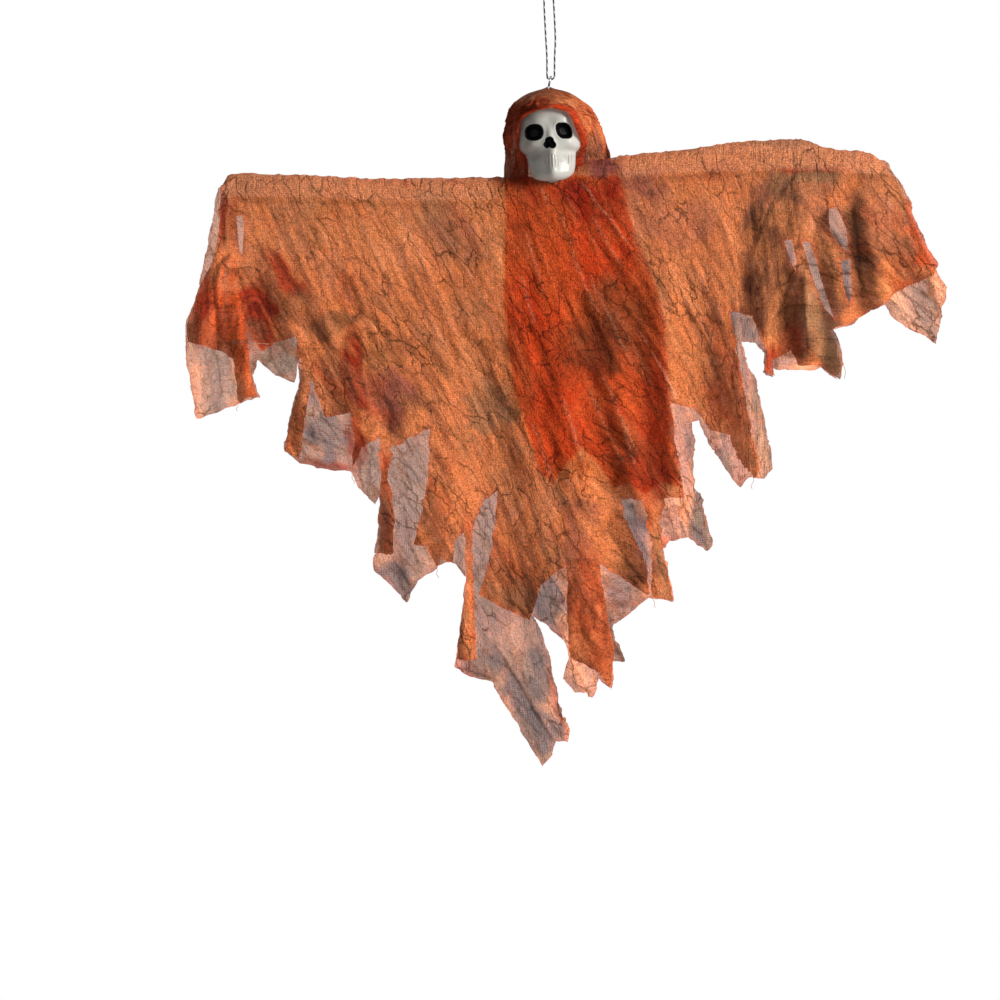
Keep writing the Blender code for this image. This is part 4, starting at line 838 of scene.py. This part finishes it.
def frayed(loop, pitch, sway):
    """A loop with its sides divided and its points drawn off the line, as torn cloth is."""
    made = []
    for a, b in zip(loop, loop[1:]):
        parts = max(1, round((b - a).length / pitch))
        across = Vector((a.y - b.y, b.x - a.x)).normalized()
        for i in range(parts):
            point = a.lerp(b, i / parts)
            if i:
                flat = Vector((*point, 0))
                rough = 0.4 + 1.6 * max(0.0, noise.noise(flat / 0.025))
                point += across * sway * rough * (noise.noise(flat / 0.007) + 0.5 * noise.noise(flat / 0.0021))
            made.append(point)
    return made + [loop[-1]]


def gauze_sheet(loops, pitch):
    """Flat cloth cut to closed loops and woven through with a square grid of edges."""
    bm = bmesh.new()
    for loop in loops:
        faces = [bm.faces.new([bm.verts.new((p.x, p.y, 0)) for p in loop])]
        for axis in (0, 1):
            across = (1, 0, 0) if axis == 0 else (0, 1, 0)
            values = [v.co[axis] for f in faces for v in f.verts]
            low, high = math.floor(min(values) / pitch), math.ceil(max(values) / pitch)
            done = []
            for n in range(low + 1, high):
                parts = {g for f in faces for g in (*f.verts, *f.edges)}
                cut = bmesh.ops.bisect_plane(bm, geom=list(parts) + faces, dist=1e-6, plane_no=across,
                                             plane_co=[n * pitch * c for c in across])
                faces = []
                for face in cut["geom"]:
                    if isinstance(face, bmesh.types.BMFace):
                        ahead = face.calc_center_bounds()[axis] > n * pitch
                        (faces if ahead else done).append(face)
            faces += done
    bmesh.ops.remove_doubles(bm, verts=bm.verts, dist=1e-5)
    return bm


def torn_out(bm, loop):
    """Cut a hole with straight sides, whose corners run one way round, out of the flat cloth."""
    low = [min(p[i] for p in loop) - 0.002 for i in (0, 1)]
    high = [max(p[i] for p in loop) + 0.002 for i in (0, 1)]
    inside = [f for f in bm.faces if all(low[i] < f.calc_center_bounds()[i] < high[i] for i in (0, 1))]
    middle = sum(loop, Vector((0, 0))) / len(loop)
    for a, b in zip(loop, loop[1:] + loop[:1]):
        outward = Vector((b.y - a.y, a.x - b.x, 0))
        if outward.dot(Vector((*(middle - a), 0))) > 0:
            outward = -outward
        parts = {g for f in inside for g in (*f.verts, *f.edges)}
        cut = bmesh.ops.bisect_plane(bm, geom=list(parts) + inside, dist=1e-6, plane_no=outward,
                                     plane_co=(*a, 0))
        inside = [f for f in cut["geom"] if isinstance(f, bmesh.types.BMFace)
                  and (f.calc_center_median() - Vector((*a, 0))).dot(outward) < 0]
    bmesh.ops.delete(bm, geom=inside, context="FACES")


def edge_distance(x, v, loops):
    """How far points of the flat cloth are from the nearest of the loops' lines."""
    best = np.full(len(x), 1.0)
    for loop in loops:
        for a, b in zip(loop, loop[1:]):
            side = b - a
            t = np.clip(((x - a[0]) * side[0] + (v - a[1]) * side[1]) / max(side.length_squared, 1e-12), 0, 1)
            best = np.minimum(best, np.hypot(x - a[0] - side[0] * t, v - a[1] - side[1] * t))
    return best


def lapped(x, z, corners):
    """1 inside a shape on the cloth, 0 outside and a quick change between; and how far its rim is."""
    loop = [Vector(c) * MM for c in (*corners, corners[0])]
    inside = np.zeros(len(x), bool)
    for a, b in zip(loop, loop[1:]):
        rise = b.y - a.y if abs(b.y - a.y) > 1e-9 else 1e-9
        inside ^= ((a.y > z) != (b.y > z)) & (x < a.x + (b.x - a.x) * (z - a.y) / rise)
    rim = edge_distance(x, z, [loop])
    return smooth_step(-0.0006, 0.0006, np.where(inside, rim, -rim)), rim


def dyed(x, z, patches, ground, laps=()):
    """Colour and openness of every point: dye soaked in patches with ragged rims, then laps, each with a line of
    painted shade along its rim.
    """
    wander = [grown_noise(np.stack([x, z, x * 0], 1) / 0.014, 3, seed) for seed in (3.1, 9.7)]
    colour = np.tile(np.array(ground), (len(x), 1))
    for px, pz, wide, high, lean, dye, strength in patches:
        a, sway = math.radians(lean), 0.9 * min(wide, high)
        dx, dz = x / MM + wander[0] * sway - px, z / MM + wander[1] * sway - pz
        u, w = dx * math.cos(a) - dz * math.sin(a), dz * math.cos(a) + dx * math.sin(a)
        soak = strength * smooth_step(1.4, 0.6, np.hypot(u / wide, w / high))
        colour += soak[:, None] * (np.array(dye) - colour)
    for dye, strength, lift, corners in laps:
        soak, rim = lapped(x, z, corners)
        colour += strength * soak[:, None] * (np.array(dye) - colour)
        # Painted shade: a dark line along the rim of each lap, where its raised edge meets the cloth
        colour[:, :3] *= 1 - 0.45 * np.exp(-(rim / 0.0009) ** 2)[:, None]
    return colour


def stroked(x, z, strokes):
    """How much painted highlight or painted shade the listed creases put on each point, from -1 to 1, and their
    relief.
    """
    wander = grown_noise(np.stack([x, z, x * 0], 1) / 0.006, 2, 6.6) * 0.0010
    tone, relief = np.zeros_like(x), np.zeros_like(x)
    for ax, az, bx, bz, half, strength in strokes:
        sx, sz = (bx - ax) * MM, (bz - az) * MM
        t = ((x - ax * MM) * sx + (z - az * MM) * sz) / (sx * sx + sz * sz)
        near = (t > -0.1) & (t < 1.1)
        t = np.clip(t[near], 0, 1)
        away = np.hypot(x[near] + wander[near] - ax * MM - sx * t, z[near] - az * MM - sz * t) / (half * 0.65 * MM)
        mark = np.exp(-away ** 2) * smooth_step(0, 0.15, t) * smooth_step(1, 0.8, t)
        mark = mark * strength * min(1, BROAD_CREASE_MM / half)
        tone[near] += mark
        relief[near] += np.exp(-(away / 2) ** 2) * strength * half * MM * smooth_step(0, 0.15, t)
    return tone.clip(-1, 1), relief


def gauze_finish(name, roughness=0.9):
    """Woven threads with light between them; dye with painted light and shade in it and openness come from the
    mesh, and the crease net and ribs add painted shade and light.
    """
    material, base, shader = finish_of(name, roughness, Specular_IOR_Level=0.05, Transmission_Weight=0.16)
    # The dye attribute holds the cloth's colour, dye with painted light and shade in it
    dye = base.add("Attribute", attribute_name="dye")
    gaps = base.add("Attribute", output=2, attribute_name="open")
    flat = base.add("UVMap", uv_map="weave")
    wander = base.add("TexNoise", {"Vector": flat, "Scale": 90, "Detail": 3}, output=1)
    drawn_off = wander.add("VectorMath", {0: wander, 1: (0.5, 0.5, 0.5)}, operation="SUBTRACT")
    flat = flat.add("VectorMath", {0: flat, 1: drawn_off.scaled((0.0028,) * 3)}, operation="ADD")
    warp = flat.add("SeparateXYZ", {0: flat})
    weft = flat.add("SeparateXYZ", {0: flat}, output=1)
    warp = warp.math("SINE", warp * (math.pi / WEAVE_PITCH)) ** 2
    weft = weft.math("SINE", weft * (math.pi / WEAVE_PITCH)) ** 2
    thread = warp.math("MAXIMUM", warp, weft)
    hole = 1 - thread.step(0.45, 0.85)
    slub = base.add("TexNoise", {"Vector": flat, "Scale": 240, "Detail": 4, "Roughness": 0.65})
    grain = base.add("TexNoise", {"Vector": flat, "Scale": 900, "Detail": 3, "Roughness": 0.8})
    crumple = base.add("UVMap", uv_map="crumple")
    bent = base.add("TexNoise", {"Vector": crumple, "Scale": 120, "Detail": 2}, output=1)
    crumple = crumple.add("VectorMath", {0: crumple, 1: bent.scaled((0.007,) * 3)}, operation="ADD")
    net = base.add("TexVoronoi", {"Vector": crumple.scaled((1, 0.42, 1)), "Scale": 140},
                   feature="DISTANCE_TO_EDGE")
    net = 1 - net.step(0.008, 0.075)
    patchy = base.add("TexNoise", {"Vector": crumple, "Scale": 34, "Detail": 3}).step(0.42, 0.62)
    fine = base.add("TexVoronoi", {"Vector": crumple.scaled((1, 0.5, 1)), "Scale": 330},
                    feature="DISTANCE_TO_EDGE")
    line = net * (patchy * 0.8 + 0.2) + (1 - fine.step(0.01, 0.09)) * (1 - patchy * 0.6) * 0.4
    join(shader, "Alpha", (1 - gaps * (1 - line * 0.75) * (0.06 + hole * (0.55 + slub * 0.50))).clamped(0.05, 1.0))
    rib = base.add("TexNoise", {"Vector": crumple.scaled((1, 0.16, 1)), "Scale": 620, "Detail": 3})
    # Painted light and shade: rib streaks are painted lighter and the crease net darker as the bump raises and
    # dents them; grain, slub and threads are the weave's own tone
    shade = (0.88 + (grain - 0.5) * 2.8 + (slub - 0.5) * 0.6 + (rib - 0.5) * 0.7 + thread * 0.10 - line * 0.52)
    dye = base.add("VectorMath", {0: dye, "Scale": shade.clamped(0.2, 2.0)}, operation="SCALE")
    join(shader, "Base Color", dye)
    bumped(shader, thread * 0.25 + slub * 0.7 + rib * 0.9 - line * 0.65, 0.75, 0.0007)
    return material


def woven(piece, colour):
    """Give a cloth piece its colour, dye with painted light and shade in it, and how open its weave is."""
    piece.data.attributes.new("dye", "FLOAT_COLOR", "POINT").data.foreach_set(
        "color", np.hstack([colour[:, :3], np.ones((len(colour), 1))]).astype(np.float32).ravel())
    stored(piece.data, "open", np.clip(colour[:, 3], 0, 1))


def mapped(bm, **maps):
    """Give a cloth mesh its UV maps from each point's place on the flat cloth."""
    bm.verts.index_update()
    for name, points in maps.items():
        uv = bm.loops.layers.uv.new(name)
        places = points.tolist()
        for face in bm.faces:
            for loop in face.loops:
                loop[uv].uv = places[loop.vert.index]


robe_gauze = gauze_finish("robe_gauze")
front = flat_loop(FRONT_OUTLINE_MM, 1)
back = flat_loop(BACK_OUTLINE_MM, -1)
ridge = [Vector((v * MM, 0)) for v in (RIDGE_SLACK_MM[0][0], *NECK_ENDS_X_MM, RIDGE_SLACK_MM[-1][0])]
neck_front = [ridge[1]] + flat_loop(NECK_FRONT_MM, 1) + [ridge[2]]
neck_back = [ridge[1]] + flat_loop(NECK_BACK_MM, -1) + [ridge[2]]
hems = [[ridge[0]] + part + [ridge[3]] for part in (front, back)]
slits = [neck_front, neck_back]
tears = [flat_loop(tear, 1) for tear in TEARS_MM]
robe_mm = gauze_sheet([frayed(hem, 0.0013, 0.0021) + frayed(slit, 0.0015, 0.0006)[::-1]
                       for hem, slit in zip(hems, slits)], CLOTH_PITCH)
for tear in tears:
    torn_out(robe_mm, tear)
flat_area = sum(face.calc_area() for face in robe_mm.faces)
flat_points = np.array([v.co for v in robe_mm.verts])
x, away = flat_points[:, 0], flat_points[:, 1]
run, before = np.abs(away), away > 0
side = np.where(before, -1.0, 1.0)
below = np.maximum(0, run - QUARTER)
lean = through(LEAN, x / MM)
along = x - lean * below
across = np.stack([along / 0.0088, run / 0.060, side], 1)
crest = ridged(across, 1.3)
furrow = ridged(np.stack([along / 0.0062, run / 0.038, side], 1), 7.7)
crackle = crackled(np.stack([along / 0.0105, run / 0.021, side * 3], 1), 2.2)
crackle *= smooth_step(-0.15, 0.25, grown_noise(np.stack([x, run, side], 1) / 0.035, 2, 5.5))
crumple = grown_noise(np.stack([along / 0.010, run / 0.024, side], 1), 3, 4.0)
wrap = np.where(before, WRAP, BACK_WRAP)
rise = np.maximum(0.0008, WRAP + through(RIDGE_SLACK_MM, x / MM) * MM) + 0.0009 * crest ** 2
bend = np.minimum(run, QUARTER) / WRAP
z = arm_z(x) + np.where(run <= QUARTER, rise * np.cos(bend), QUARTER - run)
fold = np.where(before, fold_height(FRONT_FOLDS_MM, x, z), fold_height(BACK_FOLDS_MM, x, z))
marks = [stroked(x, z, strokes) for strokes in (FRONT_CREASES_MM, BACK_CREASES_MM)]
tone, relief = (np.where(before, marks[0][i], marks[1][i]) for i in (0, 1))
lift = np.zeros_like(x)
for _, _, height, corners in FRONT_LAPS_MM:
    lift = np.maximum(lift, height * MM * lapped(x, z, corners)[0] * before)
free = smooth_step(0.0, 0.05, run)
rim = edge_distance(x, away, hems + slits + [tear + tear[:1] for tear in tears])
curl = np.exp(-rim / 0.005) * grown_noise(np.stack([x, run, side], 1) / 0.018, 2, 8.0)
proud = fold + lift + free * (0.0008 * crest ** 2 - 0.0003 * furrow ** 3 - 0.0005 * crackle + 0.0011 * crumple
                              + 0.5 * relief + 0.004 * curl)
y = side * (wrap * np.sin(bend) + np.maximum(proud, -0.0004))
moved(robe_mm, x, y, z)
mapped(robe_mm, weave=flat_points[:, :2], crumple=np.stack([along, away], 1))
robe = placed("robe_draped", robe_mm, robe_gauze)

colour = np.where(before[:, None], dyed(x, z, FRONT_PATCHES_MM, RUST, FRONT_LAPS_MM),
                  dyed(x, z, BACK_PATCHES_MM, RUST))
stain = grown_noise(np.stack([along / 0.024, run / 0.036, side], 1), 4, 2.0)
colour += 0.38 * smooth_step(0.05, 0.6, stain)[:, None] * (np.array(OLIVE) - colour)
colour += 0.45 * smooth_step(0.0, 0.6, -stain)[:, None] * (np.array(AMBER) - colour)
shaded, _ = lapped(x, z, TAIL_SHADE_MM)
shaded *= before
colour *= 1 - shaded[:, None] * (1 - np.array(TAIL_TINT))
# Painted highlight: the crests of the crumpled cloth are painted lighter, less so where the tail shows through
colour += 0.24 * (crest ** 5 * (1 - furrow))[:, None] * (np.array(CREST_HIGHLIGHT) * (1 - 0.45 * shaded[:, None]) - colour)
# Painted shade, with some dye held in the creases: darker in the furrows and along the dented crackle lines
colour[:, :3] *= (1 - 0.26 * furrow ** 6)[:, None] * (1 - 0.25 * crackle)[:, None]
# Painted highlight along the raised creases and painted shade along the sunk ones
colour += 0.45 * tone.clip(0, 1)[:, None] * (np.array(CREASE_HIGHLIGHT) - colour)
colour *= (1 - 0.72 * (-tone).clip(0, 1))[:, None]
colour[:, 3] *= (1 - 0.7 * crackle) * (1 - 0.5 * furrow ** 6) * np.where(before, FRONT_OPENS, BACK_OPENS)
# Painted light: the back layer is painted paler where the front layer shades it
colour[:, :3] *= np.where(before, 1, BACK_PAINTED_LIGHT)[:, None]
# The pale tubes show where the cloth lies on them, with a soft shadow under each
over_tube = (z - arm_z(x)) / MM
on_arm = before * smooth_step(4, 12, np.abs(x / MM - 6) - 28)
resting = (0.30 * on_arm * smooth_step(-6.6, -4.8, over_tube))[:, None]
colour[:, :3] += resting * (np.array(TUBE_SHOWS) - colour[:, :3])
colour[:, :3] *= (1 - 0.22 * on_arm * np.exp(-((over_tube + 8) / 1.5) ** 2))[:, None]
hem_shade = np.exp(-rim / 0.0011) * 0.75
colour += hem_shade[:, None] * (np.array(BRICK) - colour)
woven(robe, colour)
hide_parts("robe")

# Threads drawn out of the hems, a few of them long
cloth_points = np.stack([x, y, z], 1)[before]
threads_bm = bmesh.new()
for ax, az, dx, dz in THREADS_MM:
    held = Vector(cloth_points[np.argmin(np.hypot(cloth_points[:, 0] - ax * MM, cloth_points[:, 2] - az * MM))])
    loose = held + Vector((dx * MM, -0.0006, dz * MM))
    path = [held.lerp(loose, i / 7) + Vector((0.0007 * math.sin(i * 1.3 + ax), 0, 0)) * (i / 7) for i in range(8)]
    strand = drawn(path, 6, lambda turn, run: THREAD_DIAMETER / 2)
    mesh = bpy.data.meshes.new("strand")
    strand.to_mesh(mesh)
    strand.free()
    threads_bm.from_mesh(mesh)
    bpy.data.meshes.remove(mesh)
cotton, base, shader = finish_of("drawn_thread", 0.85)
fuzz = base.add("TexNoise", {"Vector": base.add("TexCoord", output=3), "Scale": 900, "Detail": 2})
join(shader, "Base Color", fuzz.blend(rgb((0.36, 0.13, 0.07)), rgb((0.66, 0.42, 0.30))))
threads = placed("robe_threads", threads_bm, cotton)


# Hood: a second piece of the gauze, dyed deep red, wrapped over the head with its edge
# turned in round the face. Its long tail hangs inside the robe, behind the arms.
# The screw eye draws the crown of the hood up into a small peak: height and reach
PULLED_UP, PULL_REACH = 0.0019, 0.0023
HOOD_COLUMNS = 190
HOOD_ROW_PITCH = 0.0016
HOOD_ROWS_MM = [
    (-69.0, -1.0, 2.2, 1.6, 1.6), (-69.3, -4.0, 6.2, 5.2, 5.2), (-70.3, -8.4, 10.8, 9.8, 9.8),
    (-72.3, -13.2, 15.2, 14.0, 14.6), (-75.4, -17.6, 19.6, 18.0, 19.0), (-80.3, -21.3, 25.0, 21.2, 23.0),
    (-82.0, -21.9, 26.0, 21.8, 23.9), (-83.6, -22.5, 27.0, 22.2, 24.6), (-87.5, -23.4, 28.8, 22.6, 25.8),
    (-92.0, -24.5, 30.7, 22.6, 26.6), (-96.5, -25.0, 32.2, 22.4, 26.8), (-101, -24.6, 33.6, 22.0, 26.4),
    (-105.5, -24.2, 35.4, 21.5, 25.6), (-109.5, -24.6, 36.4, 21.0, 24.5), (-114, -25.2, 36.6, 20.5, 24.0),
    (-119, -25.2, 37.0, 20.0, 24.0), (-126, -25.4, 38.5, 20, 24), (-134, -26.0, 43.4, 20, 24),
    (-150, -26.4, 48.6, 20, 24), (-164, -26.4, 51.8, 20, 24), (-180, -26.2, 59.0, 20, 24),
    (-200, -25.6, 65.0, 20, 24), (-222, -24.4, 66.8, 20, 24), (-246, -20.6, 68.6, 20, 24),
    (-270, -11.6, 72.0, 20, 24), (-290, -3.0, 75.4, 20, 24)]
# Left and right edges of the opening for the face: (z, x)
OPENING_LEFT_MM = [(-82.2, -3), (-82.8, -5.5), (-84.0, -9), (-85.6, -12), (-88.0, -14.2), (-91.5, -15.8),
                   (-97, -16.2), (-101, -15.2), (-106, -12.8), (-112, -11.4), (-130, -11)]
OPENING_RIGHT_MM = [(-82.2, 5), (-82.8, 8), (-84.0, 11), (-85.6, 12.0), (-88.0, 13.4), (-91.5, 15.0), (-97, 17.2),
                    (-101, 18.4), (-106, 17.4), (-112, 16.4), (-130, 16)]
TAIL_HEM_MM = [
    (-3, -291), (3, -297), (9, -288), (19, -276), (28, -284), (38, -299), (47, -297), (56, -303),
    (66, -296), (76, -299)]
TAIL_PLEATS_MM = [
    (-14, -135, -6, -290, 8, 3.5), (6, -135, 20, -280, 7, 4), (26, -138, 46, -300, 8, 4),
    (44, -160, 68, -300, 8, 3)]
TAIL_STRETCH_TOP = -0.222
# The turned-in rim round the face is widest on the right: least width, and what is added there
RIM_WIDTH = (0.0023, 0.0014)
RIM_HEIGHT = 0.0012
HOOD_RED = (0.46, 0.045, 0.008, 0.14)
RIM_RED = (0.58, 0.050, 0.009, 0.10)
LINING = (0.40, 0.050, 0.014, 0.10)
HOOD_PATCHES_MM = [
    (-17, -84, 10, 14, 20, MAROON, 0.35), (-22, -108, 6, 22, 0, MAROON, 0.6), (-2, -73, 17, 5, 0, RUST, 0.75),
    (13, -77, 14, 7, -25, RUST, 0.9), (20, -88, 6, 12, -15, FLAME, 0.5), (27, -97, 7, 16, -18, RUST, 0.5),
    (31, -108, 6, 12, -20, ROSE, 0.6), (-24, -112, 3, 7, 5, ROSE, 0.8), (-19.5, -104, 1.2, 9, 2, ROSE, 0.8),
    (22, -110, 3, 12, -8, ROSE, 0.5), (6, -160, 30, 30, 0, MAROON, 0.4), (20, -230, 30, 40, -20, MAROON, 0.4)]


def hood_value(index, z_mm):
    return through([(r[0], r[index]) for r in HOOD_ROWS_MM], z_mm) * MM


hood_top, hood_foot = HOOD_ROWS_MM[0][0], HOOD_ROWS_MM[-1][0]
hood_rows = round((hood_top - hood_foot) * MM / HOOD_ROW_PITCH)
hood_mm, column, row = rolled_grid(HOOD_COLUMNS, hood_rows)
s = 2 * column - 1
z_mm = hood_top + (hood_foot - hood_top) * (0.5 * row + 0.5 * row ** 2)
left, right, front_depth, back_depth = (hood_value(i, z_mm) for i in (1, 2, 3, 4))
drawn_down = smooth_step(-69, -80, z_mm)
centre = EYE_SHANK_X + (0.5 * (left + right) - EYE_SHANK_X) * drawn_down
half = np.where(s < 0, centre - left, right - centre)
opening = np.where(s < 0, centre - through(OPENING_LEFT_MM, z_mm) * MM,
                   through(OPENING_RIGHT_MM, z_mm) * MM - centre)
opens = z_mm < OPENING_LEFT_MM[0][0]
start = np.arcsin(np.clip(opening / half, 0, 0.98)) * opens
angle = math.pi - np.abs(s) * (math.pi - start)
x = centre + np.sign(s) * half * np.sin(angle)
y = 0.001 * drawn_down - np.where(angle < math.pi / 2, front_depth, back_depth) * np.cos(angle)
level_x = left + (right - left) * (s + 1) / 2
level_y = WRAP - fold_height(TAIL_PLEATS_MM, level_x, z_mm * MM)
behind = angle > math.pi / 2
laid_back = smooth_step(-93, -109.5, z_mm + 5 * behind)
hang = smooth_step(-119, -134, z_mm)
level_y = level_y - 0.0007 * np.cos(angle) * (1 - hang)
turned = np.stack([np.sign(s) * np.sin(angle) * half, -np.cos(angle) * half], 1)
x, y = x + (level_x - x) * hang, y + (level_y - y) * laid_back
level = np.round(row * hood_rows).astype(int)
lowest, highest = np.full(hood_rows + 1, 1.0), np.full(hood_rows + 1, -1.0)
np.minimum.at(lowest, level, x)
np.maximum.at(highest, level, x)
x = left + (x - lowest[level]) * (right - left) / (highest[level] - lowest[level])
hem = np.minimum(through(TAIL_HEM_MM, x / MM) * MM, hood_foot * MM - 0.003)
share = np.clip((TAIL_STRETCH_TOP - z_mm * MM) / (TAIL_STRETCH_TOP - hood_foot * MM), 0, 1)
z = np.where(share > 0, TAIL_STRETCH_TOP + (hem - TAIL_STRETCH_TOP) * share, z_mm * MM)
wrapped = 1 - laid_back
cloth_x, cloth_y = (turned + (level_x[:, None] - turned) * hang[:, None]).T
pleat, wisp = (ridged(np.stack([cloth_x / wide, cloth_y / wide, z / long], 1), seed)
               * smooth_step(-71, -78, z_mm) for wide, long, seed in ((0.0042, 0.030, 5.0), (0.0026, 0.020, 8.0)))
edges = [[Vector((a, b)) for a, b in zip(x[(column == end) & opens], z[(column == end) & opens]) if b > -0.125]
         for end in (0, 1)]
edges = [sorted(edge, key=lambda p: -p.y) for edge in edges]
edges.append([edges[0][0], edges[1][0]])
rim_width = RIM_WIDTH[0] + RIM_WIDTH[1] * smooth_step(-4, 10, x / MM)
from_rim = edge_distance(x, z, edges) / rim_width
turned_in = smooth_step(1.12, 0.9, from_rim) * (np.cos(angle) > 0) * (z > -0.122)
outward = np.stack([x - centre, y, x * 0], 1)
outward /= np.maximum(np.linalg.norm(outward, axis=1), 1e-6)[:, None]
lift = wrapped * (0.0012 * pleat ** 2 + 0.0004 * wisp ** 2
                  + RIM_HEIGHT * turned_in * np.sqrt(np.clip(1 - (2 * from_rim - 1) ** 2, 0, 1)))
x = x + outward[:, 0] * lift
y = y + outward[:, 1] * lift + hang * (0.0010 * (pleat - 0.5))
z = z + PULLED_UP * np.exp(-((x - EYE_SHANK_X) ** 2 + (y - 0.001) ** 2) / PULL_REACH ** 2)
moved(hood_mm, x, y, z)
mapped(hood_mm, **dict.fromkeys(("weave", "crumple"), np.stack([s * half * 1.6, z], 1)))
hood_area = sum(face.calc_area() for face in hood_mm.faces)
hood = placed("hood_wrapped", hood_mm, gauze_finish("hood_gauze"))
outside = np.cos(angle)[:, None] > -0.1
colour = np.where(outside, dyed(x, z, HOOD_PATCHES_MM, HOOD_RED), np.array(LINING))
# Painted highlight on the ridges of the pleats and wisps, stronger towards the right where the light falls, and
# painted shade where the ridges are low
colour += (pleat ** 3 * 0.35 + wisp ** 4 * 0.35)[:, None] * (np.array(CREST_HIGHLIGHT) - colour) * smooth_step(
    -30, 25, x / MM)[:, None]
colour[:, :3] *= (1 - 0.35 * smooth_step(0.5, 0, pleat))[:, None]
# The turned-in rim's red is painted darker on its left as painted shade, and a line of painted shade is laid just
# outside its raised edge
colour += turned_in[:, None] * (np.array(RIM_RED) * (0.6 + 0.4 * smooth_step(-8, 8, x / MM))[:, None] - colour)
colour[:, :3] *= (1 - 0.5 * np.exp(-((from_rim - 1.05) / 0.12) ** 2) * wrapped * (np.cos(angle) > 0))[:, None]
woven(hood, colour)
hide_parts("hood")
hood_area / 0.135


# Stage: a pale floor well below the longest tip, faint white light all round, a large soft
# lamp well to the right in front, and weaker ones on the left and behind.
FLOOR_Z = -0.66
SHADOW_REACH = (0.28, 0.52)
WORLD_STRENGTH = 0.08
AIM = Vector((0.0, 0, -0.2))
# (name, place, size, power in watts)
LAMPS = [("key", (2.98, -1.68, 0.68), 1.25, 188.0), ("fill", (-1.4, -1.5, -0.1), 1.2, 0.8),
         ("back", (-0.3, 1.5, 0.6), 1.4, 14.0)]

world = bpy.data.worlds.new("studio")
bpy.context.scene.world = world
world.use_nodes = True
base = Wire(world.node_tree)
rays, glossy, clear = (base.add("LightPath", output=n) for n in (0, 3, 6))
shown = rays.math("MAXIMUM", rays.math("MAXIMUM", rays, glossy), clear)
backing = world.node_tree.nodes["Background"]
backing.inputs["Color"].default_value = (1, 1, 1, 1)
base.tree.links.new((shown * (1 - WORLD_STRENGTH) + WORLD_STRENGTH).socket, backing.inputs["Strength"])

floor_bm = bmesh.new()
bmesh.ops.create_circle(floor_bm, cap_ends=True, segments=64, radius=6)
bmesh.ops.translate(floor_bm, vec=(0, 0, FLOOR_Z), verts=floor_bm.verts)
mesh = bpy.data.meshes.new("floor")
floor_bm.to_mesh(mesh)
floor_bm.free()
floor = bpy.data.objects.new("floor", mesh)
bpy.context.scene.collection.objects.link(floor)
pale, base, shader = finish_of("pale_floor", 0.9, Base_Color=(0.86, 0.86, 0.86, 1))
place = base.add("TexCoord", output=3)
reach = base.add("VectorMath", {0: place.scaled((1, 1, 0))}, output=1, operation="LENGTH")
rays = base.add("LightPath")
glow = base.add("Emission", {"Strength": 1.0})
seen = base.add("MixShader", {0: rays * (0.7 + 0.3 * reach.step(*SHADOW_REACH))})
base.tree.links.new(shader.outputs[0], seen.socket.node.inputs[1])
base.tree.links.new(glow.socket, seen.socket.node.inputs[2])
base.tree.links.new(seen.socket, pale.node_tree.nodes["Material Output"].inputs["Surface"])
mesh.materials.append(pale)

for name, place, size, power in LAMPS:
    lamp = bpy.data.lights.new(name, "AREA")
    lamp.size, lamp.energy = size, power
    light = bpy.data.objects.new(name, lamp)
    light.location = place
    light.rotation_euler = (AIM - Vector(place)).to_track_quat("-Z", "Y").to_euler()
    bpy.context.scene.collection.objects.link(light)
